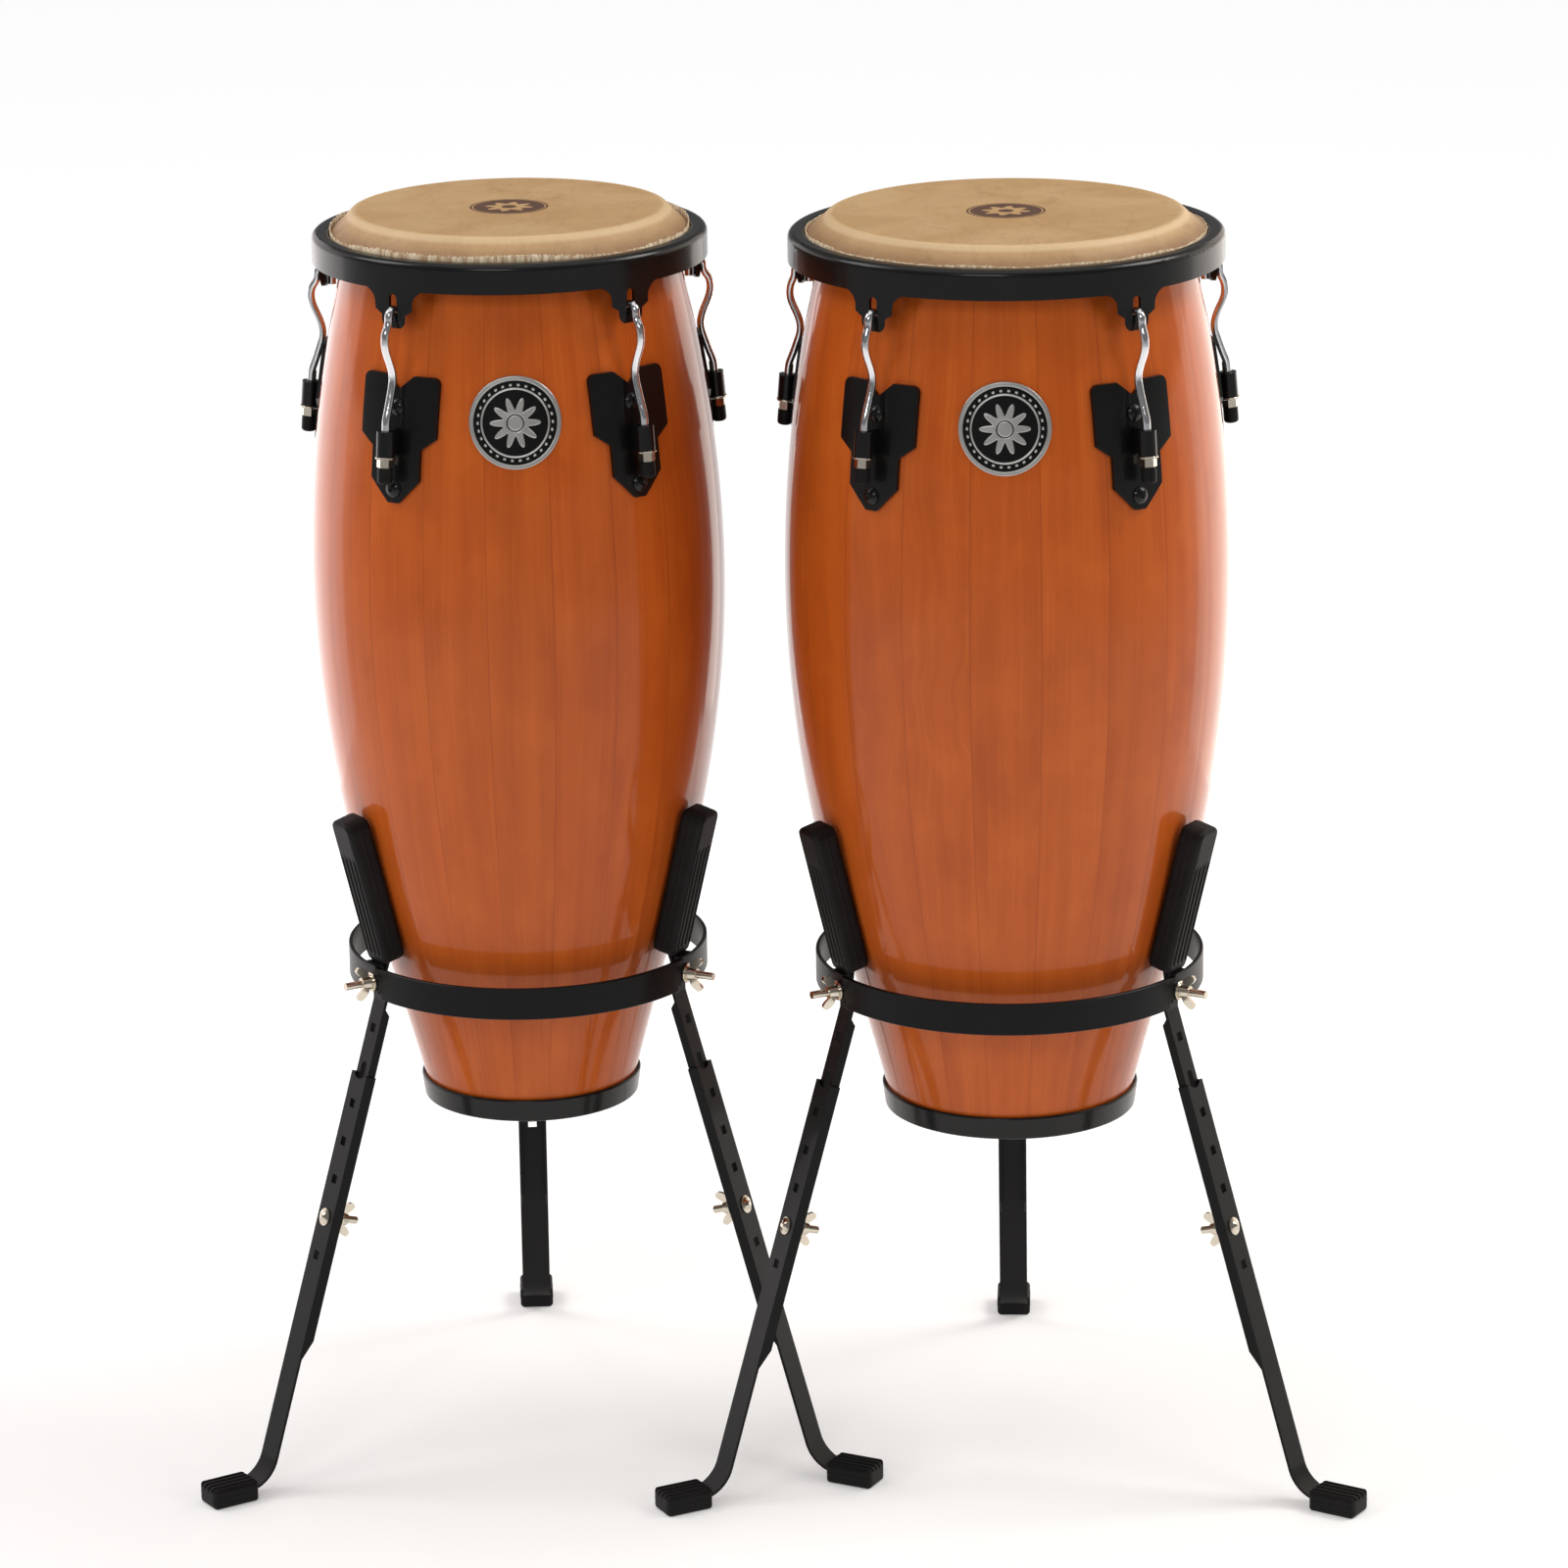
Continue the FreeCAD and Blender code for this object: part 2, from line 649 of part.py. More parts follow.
    # screws: domed head outside, washer and nut inside the shell
    screws = []
    nutLong = 8.0                                    # from the screw's end to the inner wall
    reach = nutLong + c.wallThick + c.seatGap + c.plateThick + 0.05
    for index, height in enumerate(screwHeights):
        screw = lathe(named("screw%d" % index), [
            (0, 0),
            (c.screwShank, 0),
            (c.screwShank, 1.2),
            (5.0, 1.2),
            (5.0, 5.9),
            (8.0, 5.9),
            (8.0, 7.4),
            (c.screwShank, 7.4),
            (c.screwShank, reach),
            (c.screwHead, reach),
            (c.screwHead, reach + 0.8),
            (2.2, reach + 3.6, 7.5),
            (1.2, reach + 2.4),
            (0, reach + 2.4),
        ])
        ontoShell(screw, d, height, c.wallThick + nutLong)
        screws.append(screw)
    screwPair = group(named("screwPair"), screws)
    keep(copies(named("screws"), screwPair, lugAzimuths), "plate_screws_" + mark, side)

    # badge: thin disc with a raised border, bent round the shell
    badgeBottom = d.badgeUp - c.badgeOuter - 3
    badgeTop = d.badgeUp + c.badgeOuter + 3
    thin = lathe(named("badgeThin"), bandOutline(d, low, badgeBottom, badgeTop,
                                                 c.seatGap, c.seatGap + c.badgeThick))
    proud = lathe(named("badgeProud"), bandOutline(d, low, badgeBottom, badgeTop,
                                                   c.seatGap, c.seatGap + c.badgeThick + 0.8))
    disc = rod(named("badgeDisc"), c.badgeOuter, 90)
    place(disc, x=d.bellyRadius - 60, z=low + d.badgeUp, angle=90)
    border = rod(named("badgeOuter"), c.badgeOuter, 90)
    place(border, x=d.bellyRadius - 60, z=low + d.badgeUp, angle=90)
    middle = rod(named("badgeInner"), c.badgeOuter - c.badgeBorder, 94)
    place(middle, x=d.bellyRadius - 62, z=low + d.badgeUp, angle=90)
    annulus = cut(named("badgeAnnulus"), border, middle)
    face = overlap(named("badgeFace"), [thin, disc])
    edge = overlap(named("badgeEdge"), [proud, annulus])
    badge = fuse(named("badge"), [face, edge])
    keep(copies(named("badges"), badge, [0]), "badge_" + mark, side)


def bandOutline(d, low, bottom, top, inner, outer):
    """Outline of a ring lying on the upper shell, between two offsets from it."""
    lowOffset = d.bellyRadius.value - shellRadius(d, number(bottom))
    topOffset = d.bellyRadius.value - shellRadius(d, number(top))
    return [
        (d.bellyRadius - lowOffset + inner, low + bottom, -c.upperCurve),
        (d.bellyRadius - lowOffset + outer, low + bottom),
        (d.bellyRadius - topOffset + outer, low + top, c.upperCurve),
        (d.bellyRadius - topOffset + inner, low + top),
    ]


def wingNut(name):
    """Wing nut about its own Z axis, seated at the origin."""
    hub = lathe(name + "Hub", [
        (c.boltRadius + c.runGap, 0),
        (5.6, 0),
        (5.6, 1.2),
        (4.7, 8.0),
        (c.boltRadius + c.runGap, 8.0),
    ])
    wing = prism(name + "Wing", [
        (4.2, 1.2),
        (8.4, 2.4),
        (13.4, 8.4, 12.0),
        (10.2, 12.6, 3.0),
        (6.6, 9.4, 12.0),
        (4.2, 6.4),
    ], SIDE, 3.0)
    other = doc.addObject("Part::Mirroring", name + "WingTwo")
    other.Source = wing
    other.Base = FreeCAD.Vector(0, 0, 0)
    other.Normal = FreeCAD.Vector(1, 0, 0)
    return fuse(name, [hub, wing, other])


def buildStand(side, values, mark):
    """Basket stand: ring, three arms with pads, and three two-part legs."""
    d = Sizes(side, values)

    def named(word):
        return word + mark.upper()

    sinLean, cosLean = sine(c.legLean), cosine(c.legLean)
    sinPad, cosPad = sine(c.padLean), cosine(c.padLean)
    ringTop = c.ringLow + c.ringTall
    boltZ = c.ringLow + c.boltUp

    # the pads' inner faces clear the shell all along, and the ring goes round the pads
    padStart = number(ringTop + c.padUp - c.drumLift)
    reaches = []
    for along in range(0, int(c.padLong.value) + 1, 2):
        up = padStart + along * cosPad.value
        reaches.append(shellRadius(d, up) - along * sinPad.value)
    padRadius = d.bellyRadius - (d.bellyRadius.value - max(reaches)) + c.padGap
    ringOuter = padRadius + d.ringRoom
    ringInner = ringOuter - c.ringThick
    legRadius = ringOuter - c.legInset

    def onLeg(along, deep):
        """Point (radius, height) along the leg from the ring and deep inside its face."""
        return (legRadius + along * sinLean - deep * cosLean,
                c.ringLow - along * cosLean - deep * sinLean)

    def onPad(along, out):
        """Point along the pad from its lower end and out from its inner face."""
        return (padRadius + along * sinPad + out * cosPad,
                ringTop + c.padUp + along * cosPad - out * sinPad)

    def blockOnLeg(word, along, deep, long, wide, thick):
        item = block(named(word), thick, wide, long)
        radius, height = onLeg(along, deep)
        return place(item, x=radius, y=wide * -0.5, z=height, angle=180 - c.legLean)

    def acrossLeg(item, along, deep):
        """Turns an upright piece so that its axis goes straight in through the leg."""
        radius, height = onLeg(along, deep)
        return place(item, x=radius, z=height, axis=(0, -1, 0), angle=90 + c.legLean)

    # stand ring, drilled and notched at each leg
    hoop = lathe(named("ringTurned"), [
        (ringInner, c.ringLow),
        (ringOuter - 0.6, c.ringLow),
        (ringOuter, c.ringLow + 0.6),
        (ringOuter, ringTop - 0.6),
        (ringOuter - 0.6, ringTop),
        (ringInner, ringTop),
    ])
    drill = rod(named("ringDrill"), c.boltRadius + 0.3, 30)
    place(drill, x=ringInner - 10, z=boltZ, angle=90)
    notch = prism(named("ringNotch"), [
        (-13, c.ringLow - 1),
        (13, c.ringLow - 1),
        (13, c.ringLow + 3.5),
        (9.6, c.ringLow + 7),
        (-9.6, c.ringLow + 7),
        (-13, c.ringLow + 3.5),
    ], FACING, 30, start=ringInner - 10, middle=False)
    ringTool = group(named("ringTool"), [drill, notch])
    ringTools = copies(named("ringTools"), ringTool, legAzimuths.values())
    keep(cut(named("ring"), hoop, ringTools), "stand_ring_" + mark, side)

    # upper leg: strip from the pad's arm, behind the ring, down into a channel
    bracketOut = ringInner - 0.4                   # clear of the ring's curve
    stripOut = bracketOut - c.bracketThick
    webDeep = c.lowerThick + c.slideGap
    thick = c.stripThick
    webOut = legRadius - webDeep / cosLean       # strip's face at the ring's lower edge
    kneeZ = c.ringLow - (stripOut - webOut) / tangent(c.legLean)
    webIn = webOut - thick / cosLean
    kneeIn = c.ringLow - (stripOut - thick - webIn) / tangent(c.legLean)
    armOut = 14.0
    armTop = c.padLong - 10
    strip = prism(named("strip"), [
        onLeg(c.upperLong, webDeep),
        (stripOut, kneeZ),
        (stripOut, boltZ + 7),
        onPad(4, armOut),
        onPad(armTop, armOut),
        onPad(armTop, armOut - thick),
        onPad(3, armOut - thick),
        (stripOut - thick, boltZ + 6.6),
        (stripOut - thick, kneeIn),
        onLeg(c.upperLong, webDeep + thick),
    ], SIDE, c.upperWide)
    channel = prism(named("upperChannel"), [
        onLeg(8, webDeep + 1),
        onLeg(14, webDeep + c.upperDepth),
        onLeg(c.upperLong, webDeep + c.upperDepth),
        onLeg(c.upperLong, webDeep + 1),
    ], SIDE, c.upperWide)
    hollow = prism(named("upperHollow"), [
        onLeg(-2, webDeep + thick),
        onLeg(-2, webDeep + c.upperDepth + 6),
        onLeg(c.upperLong + 2, webDeep + c.upperDepth + 6),
        onLeg(c.upperLong + 2, webDeep + thick),
    ], SIDE, c.upperWide - 4)
    flanges = cut(named("upperFlanges"), channel, hollow)
    bracket = prism(named("bracket"), [
        (stripOut - 1, c.ringLow + 4),
        (ringOuter - 0.3, c.ringLow + 4),
        (ringOuter - 0.3, c.ringLow + 6.6),
        (bracketOut, c.ringLow + 6.6),
        (bracketOut, ringTop + 0.2),
        (ringOuter + 1.8, ringTop + 0.2),
        (ringOuter + 1.8, ringTop + 2.4),
        (stripOut, ringTop + 2.4),
        (stripOut, boltZ + 7),
        (stripOut - 1, boltZ + 7),
    ], SIDE, c.upperWide)
    upperWhole = fuse(named("upperWhole"), [strip, flanges, bracket])
    upperHole = blockOnLeg("upperHole", 22.5, webDeep - 2, c.holeSide, c.holeSide, 8)
    slot = blockOnLeg("upperSlot", c.slotTop + 3.5, webDeep - 2, c.slotLow - c.slotTop - 7,
                      c.holeSide, 8)
    slotArch = acrossLeg(rod(named("slotArch"), c.holeSide / 2, 8), c.slotTop + 3.5, webDeep - 2)
    slotFoot = acrossLeg(rod(named("slotFoot"), c.holeSide / 2, 8), c.slotLow - 3.5, webDeep - 2)
    upperDrill = rod(named("upperDrill"), c.boltRadius + 0.3, 40)
    place(upperDrill, x=stripOut - 20, z=boltZ, angle=90)
    upperTools = group(named("upperTools"), [upperHole, upperDrill,
                                             fuse(named("longSlot"), [slot, slotArch, slotFoot])])
    upper = cut(named("upper"), upperWhole, upperTools)
    keep(copies(named("uppers"), upper, legAzimuths.values()), "upper_legs_" + mark, side)

    # arm pad: rubber moulding over the arm, grooved on its outer face
    padShape = prism(named("padShape"), [
        onPad(3, 0),
        onPad(0, 3) + (3.0,),
        onPad(0, c.padThick - 4),
        onPad(4, c.padThick) + (4.0,),
        onPad(c.padLong - 9, c.padThick),
        onPad(c.padLong, c.padThick - 9) + (9.0,),
        onPad(c.padLong, 4),
        onPad(c.padLong - 4, 0) + (4.0,),
    ], SIDE, c.padWide)
    grooves = []
    for index in range(4):
        groove = block(named("padGroove%d" % index), 4, 2.2, 84)
        radius, height = onPad(8, c.padThick - 1.6)
        place(groove, x=radius, y=-1.1 + (index - 1.5) * 6.2, z=height, angle=c.padLean)
        grooves.append(groove)
    padTool = group(named("padTool"), [upperWhole] + grooves)
    pad = cut(named("pad"), padShape, padTool)
    keep(copies(named("pads"), pad, legAzimuths.values()), "arm_pads_" + mark, side)

    # ring bolts: head inside the strip, washer outside the ring
    headTall = 4.0
    headStart = stripOut - thick - headTall
    head = hexagon(named("ringHead"), c.boltHead, headTall)
    place(head, x=headStart, z=boltZ, angle=90)
    shaft = rod(named("ringShaft"), c.boltRadius, ringOuter + 24 - headStart - 1)
    place(shaft, x=headStart + 1, z=boltZ, angle=90)
    ringWasher = lathe(named("ringWasher"), [
        (c.boltRadius + 0.2, 0),
        (c.washerOuter - 0.3, 0),
        (c.washerOuter, 0.3),
        (c.washerOuter, c.washerThick - 0.3),
        (c.washerOuter - 0.3, c.washerThick),
        (c.boltRadius + 0.2, c.washerThick),
    ])
    place(ringWasher, x=ringOuter + c.seatGap, z=boltZ, angle=90)
    ringBolt = group(named("ringBolt"), [fuse(named("ringScrew"), [head, shaft]), ringWasher])
    keep(copies(named("ringBolts"), ringBolt, legAzimuths.values()), "ring_bolts_" + mark, side)

    # lower leg: channel over the upper leg, then a flat bar bent out into the foot
    turn = 90 - c.legLean
    bendReach = c.bendRadius * tangent(turn / 2)
    cornerAlong = (c.ringLow - c.barUp) / cosLean
    cornerRadius = legRadius + cornerAlong * sinLean
    bendStart = cornerAlong - bendReach
    bendEnd = cornerRadius + bendReach
    footRadius = cornerRadius + c.footInset
    barEnd = footRadius + c.footLong - 6
    barLow = c.barUp - c.lowerThick
    outerBend = c.bendRadius + c.lowerThick
    bar = prism(named("bar"), [
        onLeg(c.lowerTop, 0),
        onLeg(c.lowerTop, c.lowerThick),
        onLeg(bendStart, c.lowerThick),
        (bendEnd, barLow, outerBend),
        (barEnd, barLow),
        (barEnd, c.barUp),
        (bendEnd, c.barUp),
        onLeg(bendStart, 0) + (-c.bendRadius,),
    ], SIDE, c.lowerWide)
    lowerChannel = prism(named("lowerChannel"), [
        onLeg(c.lowerTop, 0.5),
        onLeg(c.lowerTop, c.lowerDepth),
        onLeg(c.flangeLong - 16, c.lowerDepth),
        onLeg(c.flangeLong, c.lowerThick),
        onLeg(c.flangeLong, 0.5),
    ], SIDE, c.lowerWide)
    lowerHollow = prism(named("lowerHollow"), [
        onLeg(c.lowerTop - 2, c.lowerThick),
        onLeg(c.lowerTop - 2, c.lowerDepth + 6),
        onLeg(c.flangeLong + 2, c.lowerDepth + 6),
        onLeg(c.flangeLong + 2, c.lowerThick),
    ], SIDE, c.lowerWide - 4)
    lowerFlanges = cut(named("lowerFlanges"), lowerChannel, lowerHollow)
    lowerWhole = fuse(named("lowerWhole"), [bar, lowerFlanges])
    lowerTools = []
    for index in range(5):
        middle = c.holeFirst + c.holePitch * index
        lowerTools.append(blockOnLeg("legHole%d" % index, middle - c.holeSide / 2, -2,
                                     c.holeSide, c.holeSide, 6))
    scoop = acrossLeg(rod(named("legScoop"), 9, 6), c.lowerTop - 5, -2)
    lower = cut(named("lower"), lowerWhole, group(named("lowerTools"), lowerTools + [scoop]))

    # rubber foot on the end of the bar
    footEnd = footRadius + c.footLong
    footShape = prism(named("footShape"), [
        (footRadius, 0),
        (footEnd, 0),
        (footEnd, c.footTall - 4),
        (footEnd - 4, c.footTall, 4.0),
        (footRadius + 4, c.footTall),
        (footRadius, c.footTall - 4, 4.0),
    ], SIDE, c.footWide)
    footTools = [bar]
    for index in range(4):
        groove = block(named("footGroove%d" % index), c.footLong + 4, 2.2, 4)
        place(groove, x=footRadius - 2, y=-1.1 + (index - 1.5) * 5.8, z=c.footTall - 1.6)
        footTools.append(groove)
    foot = cut(named("foot"), footShape, group(named("footTools"), footTools))

    # lock bolt: domed head outside the leg, saddle washer past the flanges
    lockAlong = c.holeFirst + c.holePitch * c.lockHole
    proud = 4.2
    lockBolt = lathe(named("lockBolt"), [
        (0, 0),
        (1.5, 0),
        (7.0, 3.2, -9.0),
        (7.0, proud - 0.1),
        (3.4, proud - 0.1),
        (3.4, proud + 1.6),
        (c.boltRadius, proud + 1.9),
        (c.boltRadius, proud + 28.6),
        (c.boltRadius - 0.5, proud + 29.1),
        (0, proud + 29.1),
    ])
    acrossLeg(lockBolt, lockAlong, -proud)
    saddleDeep = webDeep + c.upperDepth + c.slideGap
    saddle = lathe(named("saddle"), [
        (c.boltRadius + 0.2, 0),
        (11.0, 0),
        (11.0, c.washerThick),
        (c.boltRadius + 0.2, c.washerThick),
    ])
    acrossLeg(saddle, lockAlong, saddleDeep)
    lockSet = group(named("lockSet"), [lockBolt, saddle])

    # wing nuts on the ring bolts and on the lock bolts
    ringWing = wingNut(named("ringWing"))
    place(ringWing, x=ringOuter + c.seatGap + c.washerThick + c.runGap, z=boltZ, angle=90)
    legWing = wingNut(named("legWing"))
    acrossLeg(legWing, lockAlong, saddleDeep + c.washerThick + c.runGap)

    for word, azimuth in legAzimuths.items():
        end = "%s_%s" % (mark, word)
        keep(copies(named("lower" + word), lower, [azimuth]), "lower_leg_" + end, side)
        keep(copies(named("foot" + word), foot, [azimuth]), "foot_" + end, side)
        keep(copies(named("lock" + word), lockSet, [azimuth]), "leg_bolt_" + end, side)
        keep(copies(named("ringWing" + word), ringWing, [azimuth]), "ring_nut_" + end, side)
        keep(copies(named("legWing" + word), legWing, [azimuth]), "leg_nut_" + end, side)


for side, values, mark in (("small", small, "a"), ("large", large, "b")):
    buildDrum(side, values, mark)
    buildStand(side, values, mark)

doc.recompute()

# ---------------------------------------------------------------- put the pair over the origin

whole = FreeCAD.BoundBox()
for node in nodes:
    whole.add(node.Shape.BoundBox)
sheets["layout"].set("B4", "%.6f" % whole.Center.x)
sheets["layout"].set("B5", "%.6f" % whole.Center.y)
doc.recompute()

# ---------------------------------------------------------------- checks and output

faults = []
for item in doc.Objects:
    if "Invalid" in item.State or "Error" in item.State:
        faults.append("%s %s" % (item.Name, item.State))
for node in nodes:
    if node.Shape.isNull() or not node.Shape.isValid() or not node.Shape.Solids:
        faults.append("bad shape " + node.Label)
if faults:
    raise RuntimeError("; ".join(faults))

os.makedirs("parts", exist_ok=True)
for node in nodes:
    node.Shape.exportStep("parts/%s.step" % node.Label)
print("wrote", len(nodes), "sub-parts; overall", whole.XLength, whole.YLength, whole.ZLength)
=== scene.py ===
import json
import math
import bpy
import numpy as np
from mathutils import Matrix, Vector


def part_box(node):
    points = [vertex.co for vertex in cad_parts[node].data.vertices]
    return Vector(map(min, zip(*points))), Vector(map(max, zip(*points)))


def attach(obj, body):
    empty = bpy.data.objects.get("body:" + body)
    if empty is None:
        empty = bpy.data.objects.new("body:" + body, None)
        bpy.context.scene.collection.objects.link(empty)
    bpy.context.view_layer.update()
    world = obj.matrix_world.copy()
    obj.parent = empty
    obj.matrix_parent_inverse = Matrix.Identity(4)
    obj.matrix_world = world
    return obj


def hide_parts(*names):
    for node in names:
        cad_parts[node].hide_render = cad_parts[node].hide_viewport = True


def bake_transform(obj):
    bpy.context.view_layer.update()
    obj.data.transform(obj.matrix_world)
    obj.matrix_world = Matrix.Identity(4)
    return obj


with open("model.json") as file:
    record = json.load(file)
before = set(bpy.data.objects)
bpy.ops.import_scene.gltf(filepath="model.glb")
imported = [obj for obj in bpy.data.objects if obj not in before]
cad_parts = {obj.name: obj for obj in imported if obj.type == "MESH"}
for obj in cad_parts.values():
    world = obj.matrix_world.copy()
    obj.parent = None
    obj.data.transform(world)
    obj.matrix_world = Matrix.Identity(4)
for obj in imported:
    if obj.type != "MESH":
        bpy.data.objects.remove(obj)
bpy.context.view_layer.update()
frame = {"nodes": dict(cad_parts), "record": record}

bpy.context.scene.view_settings.view_transform = "Standard"
record = frame["record"]
joints = {joint["name"]: joint for joint in record["behaviour"]["joints"]}
sets = {}  # each drum set: axis on the floor and the turn of its front

for mark in "ab":
    rings = [joints[f"ring_wing_spin_{mark}_{leg}"] for leg in ("right", "left", "rear")]
    axis = np.mean([ring["pos_m"] for ring in rings], axis=0)[:2]
    back = rings[2]["axis"]  # the rear bolt points straight back
    turn = math.atan2(back[1], back[0]) - math.pi / 2
    sets[mark] = {"axis": axis, "turn": turn}

lugAzimuths = (36, 108, 180, 252, 324)  # counted from the front, seen from above
legAzimuths = (60, 180, 300)
print("frame loaded:", len(frame["nodes"]), "nodes")


# a long lens, a little above the heads and looking down; metres and degrees

camera = {"lens": 146.25, "sensor": 36.0, "back": 4.8132, "up": 1.9309, "pitch": 16.065,
          "aside": 0.0104, "roll": -0.84}


def makeCamera():
    data = bpy.data.cameras.new("camera")
    data.lens = camera["lens"]
    data.sensor_width = camera["sensor"]
    data.clip_end = 60
    item = bpy.data.objects.new("camera", data)
    bpy.context.collection.objects.link(item)
    middle = (sets["a"]["axis"][1] + sets["b"]["axis"][1]) / 2
    tilt = Matrix.Rotation(math.radians(90 - camera["pitch"]), 4, "X")
    roll = Matrix.Rotation(math.radians(camera["roll"]), 4, "Z")
    place = Matrix.Translation((camera["aside"], middle - camera["back"], camera["up"]))
    item.matrix_world = place @ tilt @ roll
    bpy.context.scene.camera = item


makeCamera()


# light: a panel behind each side, soft boxes high, overhead and in front, and a fill; watts and metres

studio = {"air": 0.18, "topPower": 15.0, "topSize": 2.4, "frontPower": 30.0, "panelSize": (1.5, 1.7),
          "panelPlace": (1.22, 0.98, 0.80), "leftPower": 8.5, "rightPower": 8.5,
          "highPlace": (2.1, 0.1, 2.7), "highLeft": 24.0, "highRight": 40.0,
          "fillPlace": (2.3, -1.7, 1.3), "fillPower": 16.0, "floorColor": (0.86, 0.86, 0.86),
          "nearGlow": 0.23, "farGlow": 0.80}


def addLamp(name, place, aim, size, power, color=(1, 1, 1), seen=True, shiny=True):
    data = bpy.data.lights.new(name, "AREA")
    data.shape = "RECTANGLE"
    data.size, data.size_y = size
    data.energy = power
    data.color = color
    item = bpy.data.objects.new(name, data)
    item.location = place
    item.rotation_euler = (Vector(aim) - Vector(place)).to_track_quat("-Z", "Y").to_euler()
    item.visible_camera = seen
    item.visible_glossy = shiny
    bpy.context.collection.objects.link(item)


def makeStudio():
    world = bpy.data.worlds.new("air")
    world.use_nodes = True
    world.node_tree.nodes["Background"].inputs["Strength"].default_value = studio["air"]
    world.node_tree.nodes["Background"].inputs["Color"].default_value = (1, 1, 1, 1)
    bpy.context.scene.world = world
    x, y, z = studio["panelPlace"]
    size = studio["panelSize"]
    addLamp("panelLeft", (-x, y, z), (0, -0.05, 0.7), size, studio["leftPower"], (1, 0.90, 0.91), False)
    addLamp("panelRight", (x, y, z), (0, -0.05, 0.7), size, studio["rightPower"], (1, 0.88, 0.76), False)
    x, y, z = studio["highPlace"]
    addLamp("highLeft", (-x, y, z), (0.1, -0.05, 0.6), (1.2, 1.2), studio["highLeft"], (1, 0.98, 0.97))
    addLamp("highRight", (x, y, z), (-0.1, -0.05, 0.6), (1.2, 1.2), studio["highRight"], (1, 0.98, 0.94))
    x, y, z = studio["fillPlace"]
    for name, side in (("fillLeft", -1), ("fillRight", 1)):  # leaves no stripe in the lacquer
        addLamp(name, (side * x, y, z), (0, -0.05, 0.6), (1.2, 1.2), studio["fillPower"], (1, 0.97, 0.92),
                True, False)
    top = (studio["topSize"], studio["topSize"])
    addLamp("boxTop", (0, -0.1, 3.0), (0, 0, 0.8), top, studio["topPower"])
    addLamp("boxFront", (-0.8, -3.9, 3.1), (0, 0, 0.6), (1.6, 1.0), studio["frontPower"])


makeStudio()


class Flow:
    # a value, vector or colour on its way through a material's nodes
    def __init__(self, recipe, socket):
        self.recipe = recipe
        self.socket = socket

    def joined(self, operation, first, second):
        return self.recipe.add("ShaderNodeMath", {"operation": operation}, [first, second])

    def __add__(self, other):
        return self.joined("ADD", self, other)

    def __radd__(self, other):
        return self.joined("ADD", other, self)

    def __sub__(self, other):
        return self.joined("SUBTRACT", self, other)

    def __rsub__(self, other):
        return self.joined("SUBTRACT", other, self)

    def __mul__(self, other):
        return self.joined("MULTIPLY", self, other)

    def __rmul__(self, other):
        return self.joined("MULTIPLY", other, self)

    def __pow__(self, other):
        return self.joined("POWER", self, other)


class Recipe:
    # one material and its nodes
    def __init__(self, name):
        self.material = bpy.data.materials.new(name)
        self.material.use_nodes = True
        self.nodes = self.material.node_tree.nodes
        self.shader = self.nodes["Principled BSDF"]

    def link(self, socket, value):
        if isinstance(value, Flow):
            self.material.node_tree.links.new(value.socket, socket)
        elif isinstance(value, (int, float)) or socket.type == "VECTOR":
            socket.default_value = value
        else:
            socket.default_value = (*value[:3], 1)

    def add(self, kind, settings=None, values=None, output=0):
        node = self.nodes.new(kind)
        for name, setting in (settings or {}).items():
            setattr(node, name, setting)
        pairs = values.items() if isinstance(values, dict) else enumerate(values or [])
        for name, value in pairs:
            self.link(node.inputs[name], value)
        return Flow(self, node.outputs[output])

    def noise(self, vector, scale, detail=2.0, rough=0.5, distort=0.0):
        values = {"Vector": vector, "Scale": scale, "Detail": detail, "Roughness": rough,
                  "Distortion": distort}
        return self.add("ShaderNodeTexNoise", {}, values)

    def stretch(self, vector, by):
        return self.add("ShaderNodeVectorMath", {"operation": "MULTIPLY"}, [vector, by])

    def mix(self, factor, first, second, blend="MIX"):
        settings = {"data_type": "RGBA", "blend_type": blend}
        return self.add("ShaderNodeMix", settings, {0: factor, 6: first, 7: second}, 2)

    def step(self, value, low, high):
        settings = {"interpolation_type": "SMOOTHSTEP"}
        return self.add("ShaderNodeMapRange", settings, [value, low, high])

    def split(self, vector):
        node = self.add("ShaderNodeSeparateXYZ", {}, [vector])
        return [Flow(self, socket) for socket in node.socket.node.outputs]

    def bump(self, height, distance, strength=1.0):
        values = {"Strength": strength, "Distance": distance, "Height": height}
        return self.add("ShaderNodeBump", {}, values)

    def objectPlace(self):
        return self.add("ShaderNodeTexCoord", {}, {}, 3)

    def map(self, name):
        return self.add("ShaderNodeUVMap", {"uv_map": name}, {})

    def finish(self, **values):
        for name, value in values.items():
            self.link(self.shader.inputs[name.replace("_", " ")], value)
        return self.material


wood = {"dark": (0.410, 0.074, 0.0080), "body": (0.475, 0.091, 0.0105), "light": (0.570, 0.124, 0.0170),
        "pore": (0.310, 0.050, 0.0060), "seam": (0.22, 0.034, 0.006), "coatRoughness": 0.085,
        "tone": 0.10, "figure": 0.040}


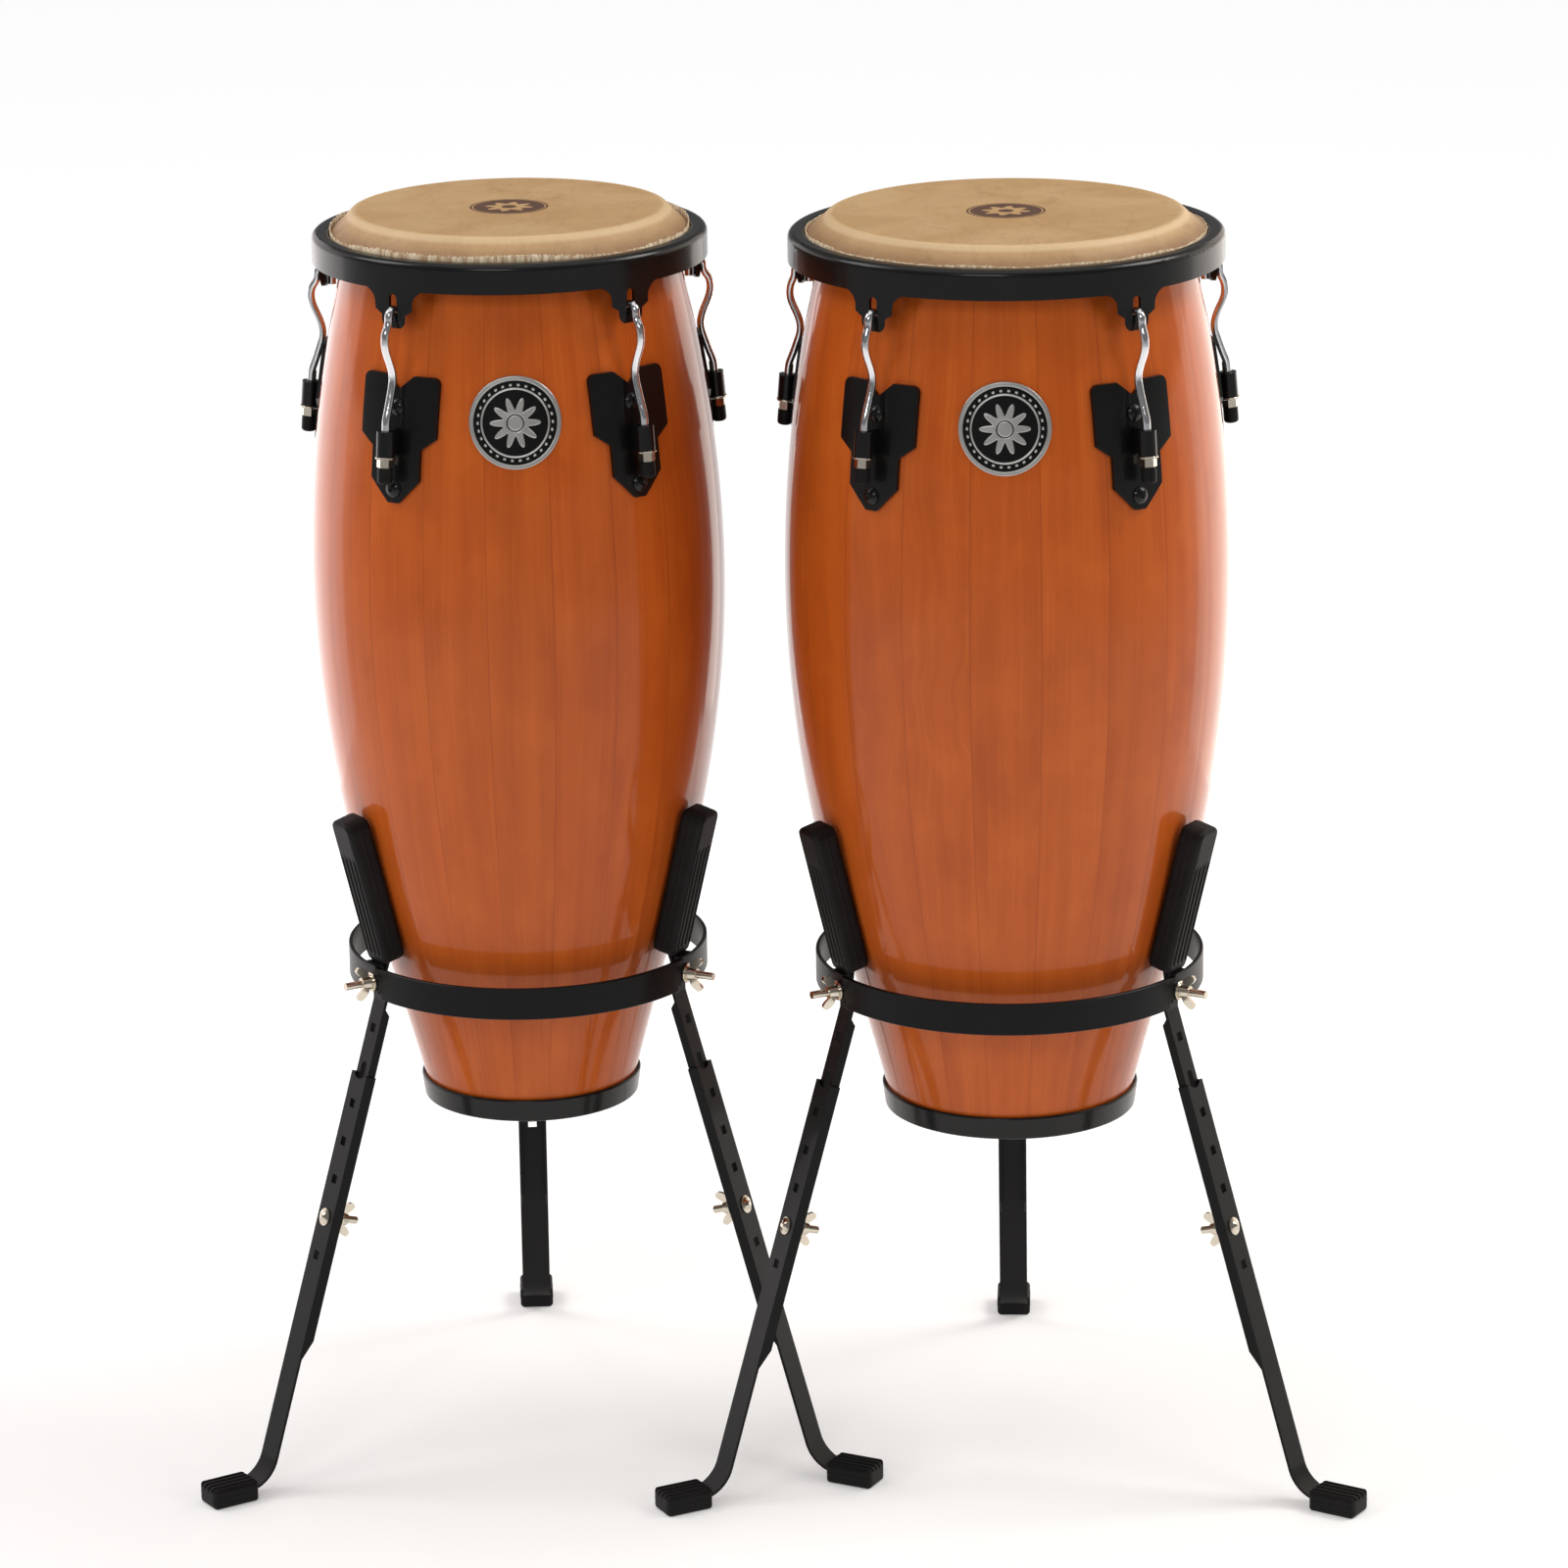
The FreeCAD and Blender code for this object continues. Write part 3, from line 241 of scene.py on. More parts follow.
def lacqueredWood():
    # grain lies along each stave: map "grain" is metres across and along, "stave" is place and tone
    r = Recipe("lacqueredWood")
    place = r.map("grain")
    across, tone, _ = r.split(r.map("stave"))
    figure = r.add("ShaderNodeAttribute", {"attribute_name": "figure"}, {}, 2)
    sway = r.noise(r.stretch(place, (14, 9, 1)), 1.0, 2.0)
    swirl = (sway - 0.5) * figure * wood["figure"] + (sway - 0.5) * 0.006
    x, y, _ = r.split(place)
    bent = r.add("ShaderNodeCombineXYZ", {}, [x + swirl, y, 0.0])
    bands = r.noise(r.stretch(bent, (62, 2.2, 1)), 1.0, 3.0, 0.55)
    streaks = r.noise(r.stretch(bent, (330, 5.5, 1)), 1.0, 3.0, 0.6)
    pores = r.noise(r.stretch(bent, (1500, 42, 1)), 1.0, 2.0, 0.6)
    flame = r.noise(r.stretch(place, (22, 13, 1)), 1.0, 3.0, 0.55)
    color = r.mix(r.step(bands, 0.30, 0.70), wood["dark"], wood["body"])
    color = r.mix(r.step(streaks, 0.42, 0.76) * 0.34, color, wood["light"])
    color = r.mix(r.step(pores, 0.60, 0.74) * 0.34, color, wood["pore"])
    color = r.mix(r.step(flame, 0.46, 0.74) * 0.42, color, wood["light"])
    color = r.mix((1.0 - r.step(flame, 0.28, 0.46)) * 0.30, color, wood["pore"])
    shade = 1.0 - wood["tone"] / 2 + tone * wood["tone"]
    grey = r.add("ShaderNodeCombineColor", {}, [shade, shade, shade])
    color = r.mix(1.0, color, grey, "MULTIPLY")
    edge = r.add("ShaderNodeMath", {"operation": "ABSOLUTE"}, [across])
    color = r.mix(r.step(edge, 0.965, 0.992) * 0.35, color, wood["seam"])
    ripple = r.noise(r.objectPlace(), 26.0, 2.0) + pores * 0.05
    normal = r.bump(ripple, 0.0012, 0.25)
    roughness = 0.40 + streaks * 0.12
    return r.finish(Base_Color=color, Roughness=roughness, Normal=normal, Coat_Weight=1.0,
                    Coat_Roughness=wood["coatRoughness"], Coat_IOR=1.30, Specular_IOR_Level=0.08)


def rawWood():
    r = Recipe("rawWood")
    place = r.map("grain")
    bands = r.noise(r.stretch(place, (90, 4, 1)), 1.0, 4.0, 0.6)
    fine = r.noise(r.stretch(place, (900, 30, 1)), 1.0, 2.0, 0.6)
    color = r.mix(r.step(bands, 0.3, 0.7), (0.30, 0.14, 0.055), (0.48, 0.25, 0.11))
    color = r.mix(r.step(fine, 0.55, 0.75) * 0.4, color, (0.16, 0.07, 0.03))
    return r.finish(Base_Color=color, Roughness=0.62 + fine * 0.2, Normal=r.bump(fine, 0.0004, 0.5))


def powderCoat(name, tint, gloss, coat, coatIor):
    # satin black: orange peel, dust-fine speckle and worn, lighter patches
    r = Recipe(name)
    place = r.objectPlace()
    peel = r.noise(place, 900.0, 2.0)
    cloud = r.noise(place, 34.0, 4.0, 0.6)
    scuff = r.step(r.noise(r.stretch(place, (60, 60, 240)), 1.0, 3.0, 0.6), 0.66, 0.80)
    color = r.mix(r.step(cloud, 0.3, 0.8) * 0.5, tint, tuple(v * 2.1 for v in tint))
    color = r.mix(scuff * 0.18, color, (0.030, 0.029, 0.030))
    return r.finish(Base_Color=color, Roughness=gloss + cloud * 0.12 + scuff * 0.12,
                    Normal=r.bump(peel, 0.00025, 0.35), Specular_IOR_Level=0.12,
                    Coat_Weight=coat, Coat_Roughness=0.15, Coat_IOR=coatIor)


def platedMetal(name, tint, gloss, cloudy, spotted, uneven):
    # chrome and nickel plate: faint polish lines, cloudy haze, darker in the speckles
    r = Recipe(name)
    place = r.objectPlace()
    lines = r.noise(place, 300.0, 3.0, 0.6)
    haze = r.noise(place, 55.0, 4.0, 0.6)
    spots = r.step(r.noise(place, 420.0, 2.0), 0.68, 0.78)
    dark = tuple(v * 0.62 for v in tint)
    color = r.mix(haze * cloudy + spots * spotted, tint, dark)
    return r.finish(Base_Color=color, Metallic=1.0, Roughness=gloss + haze * 0.08 + spots * spotted * 0.4,
                    Normal=r.bump(lines, uneven, 0.3))


def mouldedRubber():
    r = Recipe("mouldedRubber")
    place = r.objectPlace()
    grain = r.noise(place, 1500.0, 2.0, 0.6)
    bloom = r.noise(place, 40.0, 4.0, 0.65)
    dust = r.step(r.noise(place, 260.0, 3.0, 0.7), 0.62, 0.8)
    color = r.mix(r.step(bloom, 0.35, 0.75) * 0.6, (0.0060, 0.0055, 0.0055), (0.012, 0.011, 0.011))
    color = r.mix(dust * 0.12, color, (0.050, 0.046, 0.044))
    return r.finish(Base_Color=color, Roughness=0.42 + bloom * 0.16, Normal=r.bump(grain, 0.0002, 0.5),
                    Specular_IOR_Level=0.14)


# the stain colour is real stain in the veins, and painted shade on the collar
hide = {"body": (0.462, 0.270, 0.112), "pale": (0.580, 0.380, 0.188), "deep": (0.340, 0.180, 0.074),
        # the edge colour is a painted highlight along the head's rounded edge
        "stainAndShade": (0.215, 0.105, 0.042), "edge": (0.760, 0.560, 0.330), "print": (0.070, 0.022, 0.012),
        "printRadius": 0.0305}


def hideSkin(mark):
    # natural hide: mottled, with pores and veins; a plain round print marks the middle
    r = Recipe(f"hideSkin{mark.upper()}")
    axis = sets[mark]["axis"]
    centred = r.add("ShaderNodeMapping", {}, {"Vector": r.objectPlace(),
                                              "Location": (-axis[0], -axis[1], 0)})
    x, y, _ = r.split(centred)
    reach = (x * x + y * y) ** 0.5
    patches = r.noise(centred, 13.0, 5.0, 0.6, 0.6)
    mottle = r.noise(centred, 70.0, 4.0, 0.65, 0.4)
    pores = r.noise(centred, 850.0, 2.0)
    veins = r.noise(r.stretch(centred, (26, 9, 9)), 1.0, 2.0, 0.5, 1.6)
    fromLine = r.add("ShaderNodeMath", {"operation": "ABSOLUTE"}, [veins - 0.5])
    line = 1.0 - r.step(fromLine, 0.004, 0.022)
    color = r.mix(r.step(patches, 0.30, 0.72) * 0.7, hide["body"], hide["pale"])
    color = r.mix(r.step(mottle, 0.52, 0.80) * 0.45, color, hide["deep"])
    color = r.mix(line * 0.12, color, hide["stainAndShade"])
    color = r.mix(r.step(pores, 0.62, 0.74) * 0.30, color, hide["deep"])
    flat = skinEdge[mark]
    # painted shade: the collar bending down under the rim is darkened in colour, mixed with the hide's
    # own darker mottle
    collar = r.step(reach, flat + 0.001, flat + 0.0135)
    color = r.mix(collar * (0.40 + mottle * 0.62), color, hide["stainAndShade"])
    # painted highlight: a pale band along the head's rounded edge, where the light would catch it
    paintedEdgeHighlight = r.step(reach, flat - 0.0075, flat - 0.0015)
    paintedEdgeHighlight = paintedEdgeHighlight * (1.0 - r.step(reach, flat + 0.0005, flat + 0.0035))
    color = r.mix(paintedEdgeHighlight * 0.55, color, hide["edge"])
    angle = r.add("ShaderNodeMath", {"operation": "ARCTAN2"}, [y, x])
    petals = r.add("ShaderNodeMath", {"operation": "SINE"}, [angle * 8.0]) * 0.0035
    radius = hide["printRadius"]
    disc = 1.0 - r.step(reach, radius - 0.0004, radius)
    gap = r.step(reach, radius - 0.0031, radius - 0.0028)
    gap = gap * (1.0 - r.step(reach, radius - 0.0020, radius - 0.0017))
    flower = 1.0 - r.step(reach + petals, 0.0150, 0.0154)
    heart = 1.0 - r.step(reach, 0.0058, 0.0062)
    rubbed = r.step(mottle + pores * 0.3, 0.86, 0.96) * 0.5
    ink = disc * (1.0 - gap) * (1.0 - flower * (1.0 - heart)) * (1.0 - rubbed) * 0.92
    color = r.mix(ink, color, hide["print"])
    relief = mottle * 0.5 + pores * 0.25 + patches
    return r.finish(Base_Color=color, Roughness=0.50 + mottle * 0.16 - ink * 0.1,
                    Normal=r.bump(relief, 0.0006, 0.45), Coat_Weight=0.12, Coat_Roughness=0.35)


def frayedHide():
    r = Recipe("frayedHide")
    place = r.objectPlace()
    strands = r.noise(r.stretch(place, (420, 420, 60)), 1.0, 3.0, 0.6)
    color = r.mix(r.step(strands, 0.35, 0.7), (0.42, 0.28, 0.16), (0.80, 0.68, 0.50))
    return r.finish(Base_Color=color, Roughness=0.8, Normal=r.bump(strands, 0.0008, 0.8))


def badgeMetal(mark):
    # raised metal is bright and the sunk field is dark enamel; the map holds place and relief
    r = Recipe(f"badgeMetal{mark.upper()}")
    reach, relief, _ = r.split(r.map("relief"))
    place = r.objectPlace()
    brush = r.noise(r.stretch(place, (900, 60, 900)), 1.0, 3.0, 0.6)
    haze = r.noise(place, 90.0, 3.0)
    raised = r.step(relief, 0.35, 0.65)
    silver = r.mix(haze * 0.4, (0.60, 0.59, 0.57), (0.36, 0.35, 0.34))
    color = r.mix(raised, r.mix(haze * 0.5, (0.003, 0.003, 0.003), (0.007, 0.007, 0.008)), silver)
    roughness = 0.30 + brush * 0.18 - raised * 0.05
    return r.finish(Base_Color=color, Metallic=raised * 0.95, Roughness=roughness,
                    Normal=r.bump(brush, 0.0002, 0.3), Specular_IOR_Level=0.15)


def toWorld(points, mark):
    # turns a set's own points to its front and moves them to its axis
    turn = sets[mark]["turn"]
    x = points[..., 0] * math.cos(turn) - points[..., 1] * math.sin(turn) + sets[mark]["axis"][0]
    y = points[..., 0] * math.sin(turn) + points[..., 1] * math.cos(turn) + sets[mark]["axis"][1]
    return np.stack([x, y, points[..., 2]], axis=-1)


def aroundAxis(out, aside, up, azimuth):
    # a point is out along the azimuth's direction, aside along its tangent, and up
    angle = np.radians(azimuth)
    x = out * np.sin(angle) + aside * np.cos(angle)
    y = -out * np.cos(angle) + aside * np.sin(angle)
    return np.stack(np.broadcast_arrays(x, y, up), axis=-1)


def nodePoints(name, mark):
    # a CAD node's corners in the set's own frame
    mesh = frame["nodes"][name].data
    flat = np.empty(len(mesh.vertices) * 3)
    mesh.vertices.foreach_get("co", flat)
    points = flat.reshape(-1, 3)
    turn = -sets[mark]["turn"]
    x = points[:, 0] - sets[mark]["axis"][0]
    y = points[:, 1] - sets[mark]["axis"][1]
    return np.stack([x * math.cos(turn) - y * math.sin(turn),
                     x * math.sin(turn) + y * math.cos(turn), points[:, 2]], axis=1)


def sector(name, mark, azimuth):
    # the corners near one azimuth, as (out, aside, up)
    points = nodePoints(name, mark)
    angle = math.radians(azimuth)
    out = points[:, 0] * math.sin(angle) - points[:, 1] * math.cos(angle)
    aside = points[:, 0] * math.cos(angle) + points[:, 1] * math.sin(angle)
    near = (out > 0) & (np.abs(aside) < 0.4 * out)
    return np.stack([out, aside, points[:, 2]], axis=1)[near]


def patch(points, wrapRows=False, wrapCols=True, poles=False, uv=None):
    # quads over a grid of points; with poles, a fan closes the first and last rows
    rows, cols = points.shape[:2]
    lastRow = rows if wrapRows else rows - 1
    lastCol = cols if wrapCols else cols - 1
    i, j = np.meshgrid(np.arange(lastRow), np.arange(lastCol), indexing="ij")
    corners = [(i, j), (i, j + 1), (i + 1, j + 1), (i + 1, j)]
    quads = np.stack([(a % rows) * cols + b % cols for a, b in corners], axis=-1).reshape(-1, 4)
    vertices = points.reshape(-1, 3)
    faces = [quads]
    maps = {}
    for name, grid in (uv or {}).items():
        maps[name] = [np.stack([grid[a, b] for a, b in corners], axis=2).reshape(-1, 4, 2)]
    if poles:
        vertices = np.vstack([vertices, points[0].mean(axis=0), points[-1].mean(axis=0)])
        around = np.arange(cols)
        after = (around + 1) % cols
        start = rows * cols
        first = np.stack([np.full(cols, start), after, around], axis=1)
        base = (rows - 1) * cols
        last = np.stack([np.full(cols, start + 1), base + around, base + after], axis=1)
        faces += [first, last]
        for name, grid in (uv or {}).items():
            for row, order in ((0, (after, around)), (-1, (around, after))):
                edge = grid[row]
                middle = np.broadcast_to(edge.mean(axis=0), (cols, 2))
                maps[name].append(np.stack([middle, edge[order[0]], edge[order[1]]], axis=1))
    return {"vertices": vertices, "faces": faces, "maps": maps}


def volume(vertices, faces):
    # signed volume: positive when the faces point outwards
    total = 0.0
    for group in faces:
        a = vertices[group[:, 0]]
        for k in range(1, group.shape[1] - 1):
            b, c = vertices[group[:, k]], vertices[group[:, k + 1]]
            total += np.einsum("ij,ij->i", a, np.cross(b, c)).sum()
    return total


def makePiece(name, patches, materials, body, replaced=(), faceMaterial=None,
              faceValues=None):
    # joins patches into one mesh object, turns inside-out ones round, and sets its body
    vertices, faces, start = [], [], 0
    maps = {}
    for part in patches:
        groups = part["faces"]
        centred = part["vertices"] - part["vertices"].mean(axis=0)
        flip = volume(centred, groups) < 0
        for index, group in enumerate(groups):
            turned = group[:, ::-1] if flip else group
            faces += (turned + start).tolist()
            for key, values in part["maps"].items():
                corner = values[index][:, ::-1] if flip else values[index]
                maps.setdefault(key, []).append(corner.reshape(-1, 2))
        vertices.append(part["vertices"])
        start += len(part["vertices"])
    mesh = bpy.data.meshes.new(name)
    mesh.from_pydata(np.vstack(vertices).tolist(), [], faces)
    for key, values in maps.items():
        mesh.uv_layers.new(name=key).data.foreach_set("uv", np.vstack(values).ravel())
    for material in materials:
        mesh.materials.append(material)
    if faceMaterial is not None:
        mesh.polygons.foreach_set("material_index", faceMaterial)
    for key, values in (faceValues or {}).items():
        mesh.attributes.new(key, "FLOAT", "FACE").data.foreach_set("value", values)
    mesh.polygons.foreach_set("use_smooth", np.ones(len(faces), dtype=bool))
    mesh.update()
    item = bpy.data.objects.new(name, mesh)
    bpy.context.collection.objects.link(item)
    if body:
        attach(item, body)
    if replaced:
        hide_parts(*replaced)
    return item


def arcPoints(centre, radius, start, stop, count):
    # points along an arc, angles in degrees
    angles = np.radians(np.linspace(start, stop, count))
    return np.stack([centre[0] + radius * np.cos(angles), centre[1] + radius * np.sin(angles)], axis=1)


def turned(profile, mark, columns=192):
    # a (radius, height) profile carried round the set's axis; radii may differ by column
    angles = np.linspace(0, 360, columns, endpoint=False)
    radius = profile[..., 0] if profile.ndim == 3 else profile[:, None, 0]
    height = profile[..., 1] if profile.ndim == 3 else profile[:, None, 1]
    return toWorld(aroundAxis(radius, 0.0, height + 0 * angles, angles), mark)


def smoothStep(low, high, value):
    share = np.clip((value - low) / (high - low), 0, 1)
    return share * share * (3 - 2 * share)


# shells: the outer curve is a smooth fit through the CAD staves' outer corners

shell = {"staves": 20, "columnsPerStave": 16, "rows": 150, "groove": 0.00012, "wall": 0.011,
         "meanRadius": 0.15, "bearing": 0.005, "figured": {"a": (3,), "b": (17, 18, 19)}}


def shellCurve(mark):
    points = nodePoints(f"staves_{mark}", mark)
    reach = np.hypot(points[:, 0], points[:, 1])
    up = points[:, 2]
    low, high = up.min(), up.max()
    share = (up - low) / (high - low) * 2 - 1
    keep = share < 0.97
    for _ in range(3):
        fit = np.polynomial.Polynomial.fit(share[keep], reach[keep], 6, domain=[-1, 1])
        keep = (reach > fit(share) - 0.0006) & (share < 0.97)
    return lambda z: fit((np.asarray(z) - low) / (high - low) * 2 - 1), low, high


curves = {mark: shellCurve(mark) for mark in "ab"}


def makeShell(mark):
    # ring of staves: outer curve up, bearing edge over, inner wall down
    radiusAt, low, high = curves[mark]
    up = np.linspace(low, high - shell["bearing"], shell["rows"])
    outer = np.stack([radiusAt(up), up], axis=1)
    topRadius = radiusAt(high - shell["bearing"])
    bearing = shell["bearing"]
    crown = arcPoints((topRadius - bearing, high - bearing), bearing, 0, 90, 8)[1:]
    inUp = np.linspace(high - 0.003, low, 60)
    inner = np.stack([radiusAt(inUp) - shell["wall"], inUp], axis=1)
    profile = np.vstack([outer, crown, inner])
    per = shell["columnsPerStave"]
    count = shell["staves"] * per
    share = np.arange(count + 1) / per  # in staves, each centred on a whole number
    angles = (share - 0.5) * 360 / shell["staves"]
    halfWide = math.pi * shell["meanRadius"] / shell["staves"]
    fromSeam = np.abs(share - np.round(share))[:count] * 2 * halfWide
    groove = shell["groove"] * np.exp(-(fromSeam / 0.0006) ** 2)
    onOuter = (np.arange(len(profile)) < len(outer)).astype(float)
    radius = profile[:, None, 0] - onOuter[:, None] * groove
    angles = angles[:count]
    points = toWorld(aroundAxis(radius, 0.0, profile[:, None, 1] + 0 * angles, angles), mark)
    rows = len(profile)
    rng = np.random.default_rng(11 if mark == "a" else 23)
    tones = rng.random(shell["staves"])
    shifts = rng.random(shell["staves"]) * 3.0
    stave = np.arange(count) // per
    place = np.arange(count)[:, None] % per + np.array([0, 1, 1, 0])
    across = place / per * 2 - 1
    quadRow, _ = np.meshgrid(np.arange(rows), np.arange(count), indexing="ij")
    heights = np.append(profile[:, 1], profile[0, 1])
    rowUp = np.stack([heights[quadRow + step] for step in (0, 0, 1, 1)], axis=2)
    grainX = np.broadcast_to((across * halfWide + (stave * 0.37)[:, None])[None], (rows, count, 4))
    grainY = rowUp + shifts[stave][None, :, None]
    grain = np.stack([grainX, grainY], axis=-1).reshape(-1, 4, 2)
    toneGrid = np.broadcast_to(tones[stave][None, :, None], (rows, count, 4))
    acrossGrid = np.broadcast_to(across[None], (rows, count, 4))
    staveMap = np.stack([acrossGrid, toneGrid], axis=-1).reshape(-1, 4, 2)
    part = patch(points, wrapRows=True)
    part["maps"] = {"grain": [grain], "stave": [staveMap]}
    inside = (quadRow >= len(outer) + len(crown) - 1).astype(np.int32).ravel()
    figured = np.isin(stave, shell["figured"][mark]).astype(float)
    figureUp = np.exp(-((heights[quadRow] - low - 0.36) / 0.17) ** 2) * figured[None, :]
    return makePiece(f"shell_{mark}", [part], [woodOutside, woodInside], f"drum_{mark}",
                     [f"staves_{mark}"], inside, {"figure": figureUp.ravel()})


# skins: flat head, rounded over the bearing edge, sloping collar tucked under the rim

skin = {"thick": 0.0018, "round": 0.0052, "wrinkle": 0.00035}
skinEdge = {}
for mark in "ab":
    corners = nodePoints(f"skin_{mark}", mark)
    lift = corners[:, 2]
    skinEdge[mark] = np.hypot(*corners[lift > lift.max() - 0.0015].T[:2]).max() - 0.0005


def makeSkin(mark):
    corners = nodePoints(f"skin_{mark}", mark)
    top = corners[:, 2].max()
    collarOut = np.hypot(corners[:, 0], corners[:, 1]).max()
    collarLow = corners[:, 2].min()
    bend = skin["round"]
    flat = skinEdge[mark] - 0.001
    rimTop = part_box(f"rim_{mark}")[1].z
    lean = math.degrees(math.atan2(top - rimTop, collarOut - flat - 0.002))
    head = np.stack([np.linspace(0.004, flat - bend * 0.6, 40), np.full(40, top)], axis=1)
    over = arcPoints((flat - bend * 0.6, top - bend), bend, 88, 90 - lean, 10)
    steps = np.linspace(0, 1, 14)[1:, None]
    tuck = np.array([collarOut - 0.0008, rimTop - 0.0005])
    slope = over[-1] + (tuck - over[-1]) * steps
    slope[:, 1] -= np.sin(steps[:, 0] * math.pi) * 0.0009
    down = np.stack([np.full(8, collarOut), np.linspace(rimTop - 0.002, collarLow, 8)], axis=1)
    outer = np.vstack([head, over, slope, down])
    inner = outer[::-1] - [skin["thick"], skin["thick"]]
    inner[:, 0] = np.maximum(inner[:, 0], 0.004)
    profile = np.vstack([outer, inner])
    columns = 256
    angle = np.linspace(0, 2 * math.pi, columns, endpoint=False)
    rng = np.random.default_rng(5 if mark == "a" else 6)
    wave = sum(rng.normal() / k * np.sin(k * angle + rng.random() * 6.3) for k in (5, 9, 14, 23, 37))
    amount = smoothStep(flat, collarOut, profile[:, 0])[:, None] * skin["wrinkle"]
    grid = np.empty((len(profile), columns, 2))
    grid[..., 0] = profile[:, None, 0] - amount * np.abs(wave)
    grid[..., 1] = profile[:, None, 1] + amount * wave * 0.6
    points = turned(grid, mark, columns)
    item = makePiece(f"head_{mark}", [patch(points, poles=True)], [hideSkin(mark)], None,
                     [f"skin_{mark}"])
    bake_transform(item)


fray = {"a": {"tall": 0.0090, "rough": 0.0020}, "b": {"tall": 0.0050, "rough": 0.0008},
        "belowLip": 0.0022, "most": 0.0072, "columns": 720}


def makeFray(mark):
    # trimmed edge of the hide, standing unevenly between the collar and the rim
    hoop = nodePoints(f"flesh_hoop_{mark}", mark)
    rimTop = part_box(f"rim_{mark}")[1].z
    rim = nodePoints(f"rim_{mark}", mark)
    lip = np.hypot(rim[:, 0], rim[:, 1]).min()
    columns = fray["columns"]
    angle = np.linspace(0, 2 * math.pi, columns, endpoint=False)
    rng = np.random.default_rng(41 if mark == "a" else 42)
    ragged = rng.random(columns)
    slow = sum(rng.normal() / math.sqrt(k) * np.sin(k * angle + rng.random() * 6.3)
               for k in (2, 3, 7, 13, 29, 61))
    height = fray[mark]["tall"] * (0.55 + 0.18 * slow) + fray[mark]["rough"] * (ragged - 0.5)
    top = rimTop - fray["belowLip"] + np.clip(height, 0.0002, fray["most"])
    low = hoop[:, 2].max() - 0.002
    inner, outer = lip - 0.0014, lip - 0.0004
    lean = 0.0006 * (rng.random(columns) - 0.5)
    grid = np.empty((6, columns, 2))
    radii = (inner, inner, inner + 0.0002, outer - 0.0001, outer, outer)
    for row, (radius, share) in enumerate(zip(radii, (0, 0.6, 1, 0.96, 0.55, 0))):
        grid[row, :, 0] = radius + lean * share
        grid[row, :, 1] = low + (top - low) * share
    makePiece(f"hideEdge_{mark}", [patch(turned(grid, mark, columns), wrapRows=True)], [hideFray],
              f"tension_{mark}")


def roundedSection(halfAcross, halfOut, corner, counts):
    # outline of a rounded rectangle: core points, and the normals they are pushed out along
    wide, deep, bend = counts
    core, normal = [], []
    spots = ((halfAcross - corner, halfOut - corner, 0), (corner - halfAcross, halfOut - corner, 90),
             (corner - halfAcross, corner - halfOut, 180), (halfAcross - corner, corner - halfOut, 270))
    for index, (x, y, start) in enumerate(spots):
        angles = np.radians(np.linspace(start, start + 90, bend))
        core.append(np.broadcast_to([x, y], (bend, 2)))
        normal.append(np.stack([np.cos(angles), np.sin(angles)], axis=1))
        nextX, nextY, _ = spots[(index + 1) % 4]
        run = wide if index % 2 == 0 else deep
        share = np.linspace(0, 1, run + 2)[1:-1, None]
        core.append(np.array([x, y]) + share * np.array([nextX - x, nextY - y]))
        normal.append(np.broadcast_to(normal[-1][-1], (run, 2)))
    return np.vstack(core), np.vstack(normal)


def quarterInset(radius, fromEnd):
    # how far a rounded corner draws the surface in, at a distance from the end
    return radius - np.sqrt(np.maximum(radius ** 2 - np.maximum(radius - fromEnd, 0) ** 2, 0))


def mouldedBlock(long, halfAcross, halfOut, corner, endRound, counts, rows, relief):
    # a rounded section carried along a line and drawn in at both ends; relief sinks or raises it
    core, normal = roundedSection(halfAcross, halfOut, corner, counts)
    ends = endRound * (1 - np.cos(np.linspace(0, math.pi / 2, 14)))
    along = np.concatenate([ends, np.linspace(endRound, long - endRound, rows)[1:-1], long - ends[::-1]])
    fromEnd = np.minimum(along, long - along)
    push = (corner - quarterInset(corner, fromEnd))[:, None] * np.ones(len(core))
    narrow = 1 - quarterInset(endRound, fromEnd)[:, None] / (halfAcross - corner) * 0.98
    narrow = np.maximum(narrow, 0.02)
    across = core[:, 0] * narrow + normal[:, 0] * push
    out = core[:, 1] + normal[:, 1] * push
    push = push + relief(across, out, along[:, None] + 0 * across, normal)
    across = core[:, 0] * narrow + normal[:, 0] * push
    out = core[:, 1] + normal[:, 1] * push
    return across, out, along[:, None] + 0 * across


pad = {"lean": 14.1, "corner": 0.0042, "endRound": 0.0085, "grooves": 4, "pitch": 0.0062,
       "wide": 0.0028, "deep": 0.0022, "plainTop": 0.030, "plainLow": 0.008, "parting": 0.00025}


def grooved(across, pitch, wide, count):
    # 1 inside a groove and 0 between, for evenly spaced grooves
    middles = (np.arange(count) - (count - 1) / 2) * pitch
    return sum(np.exp(-((across - middle) / (wide / 2)) ** 4) for middle in middles)


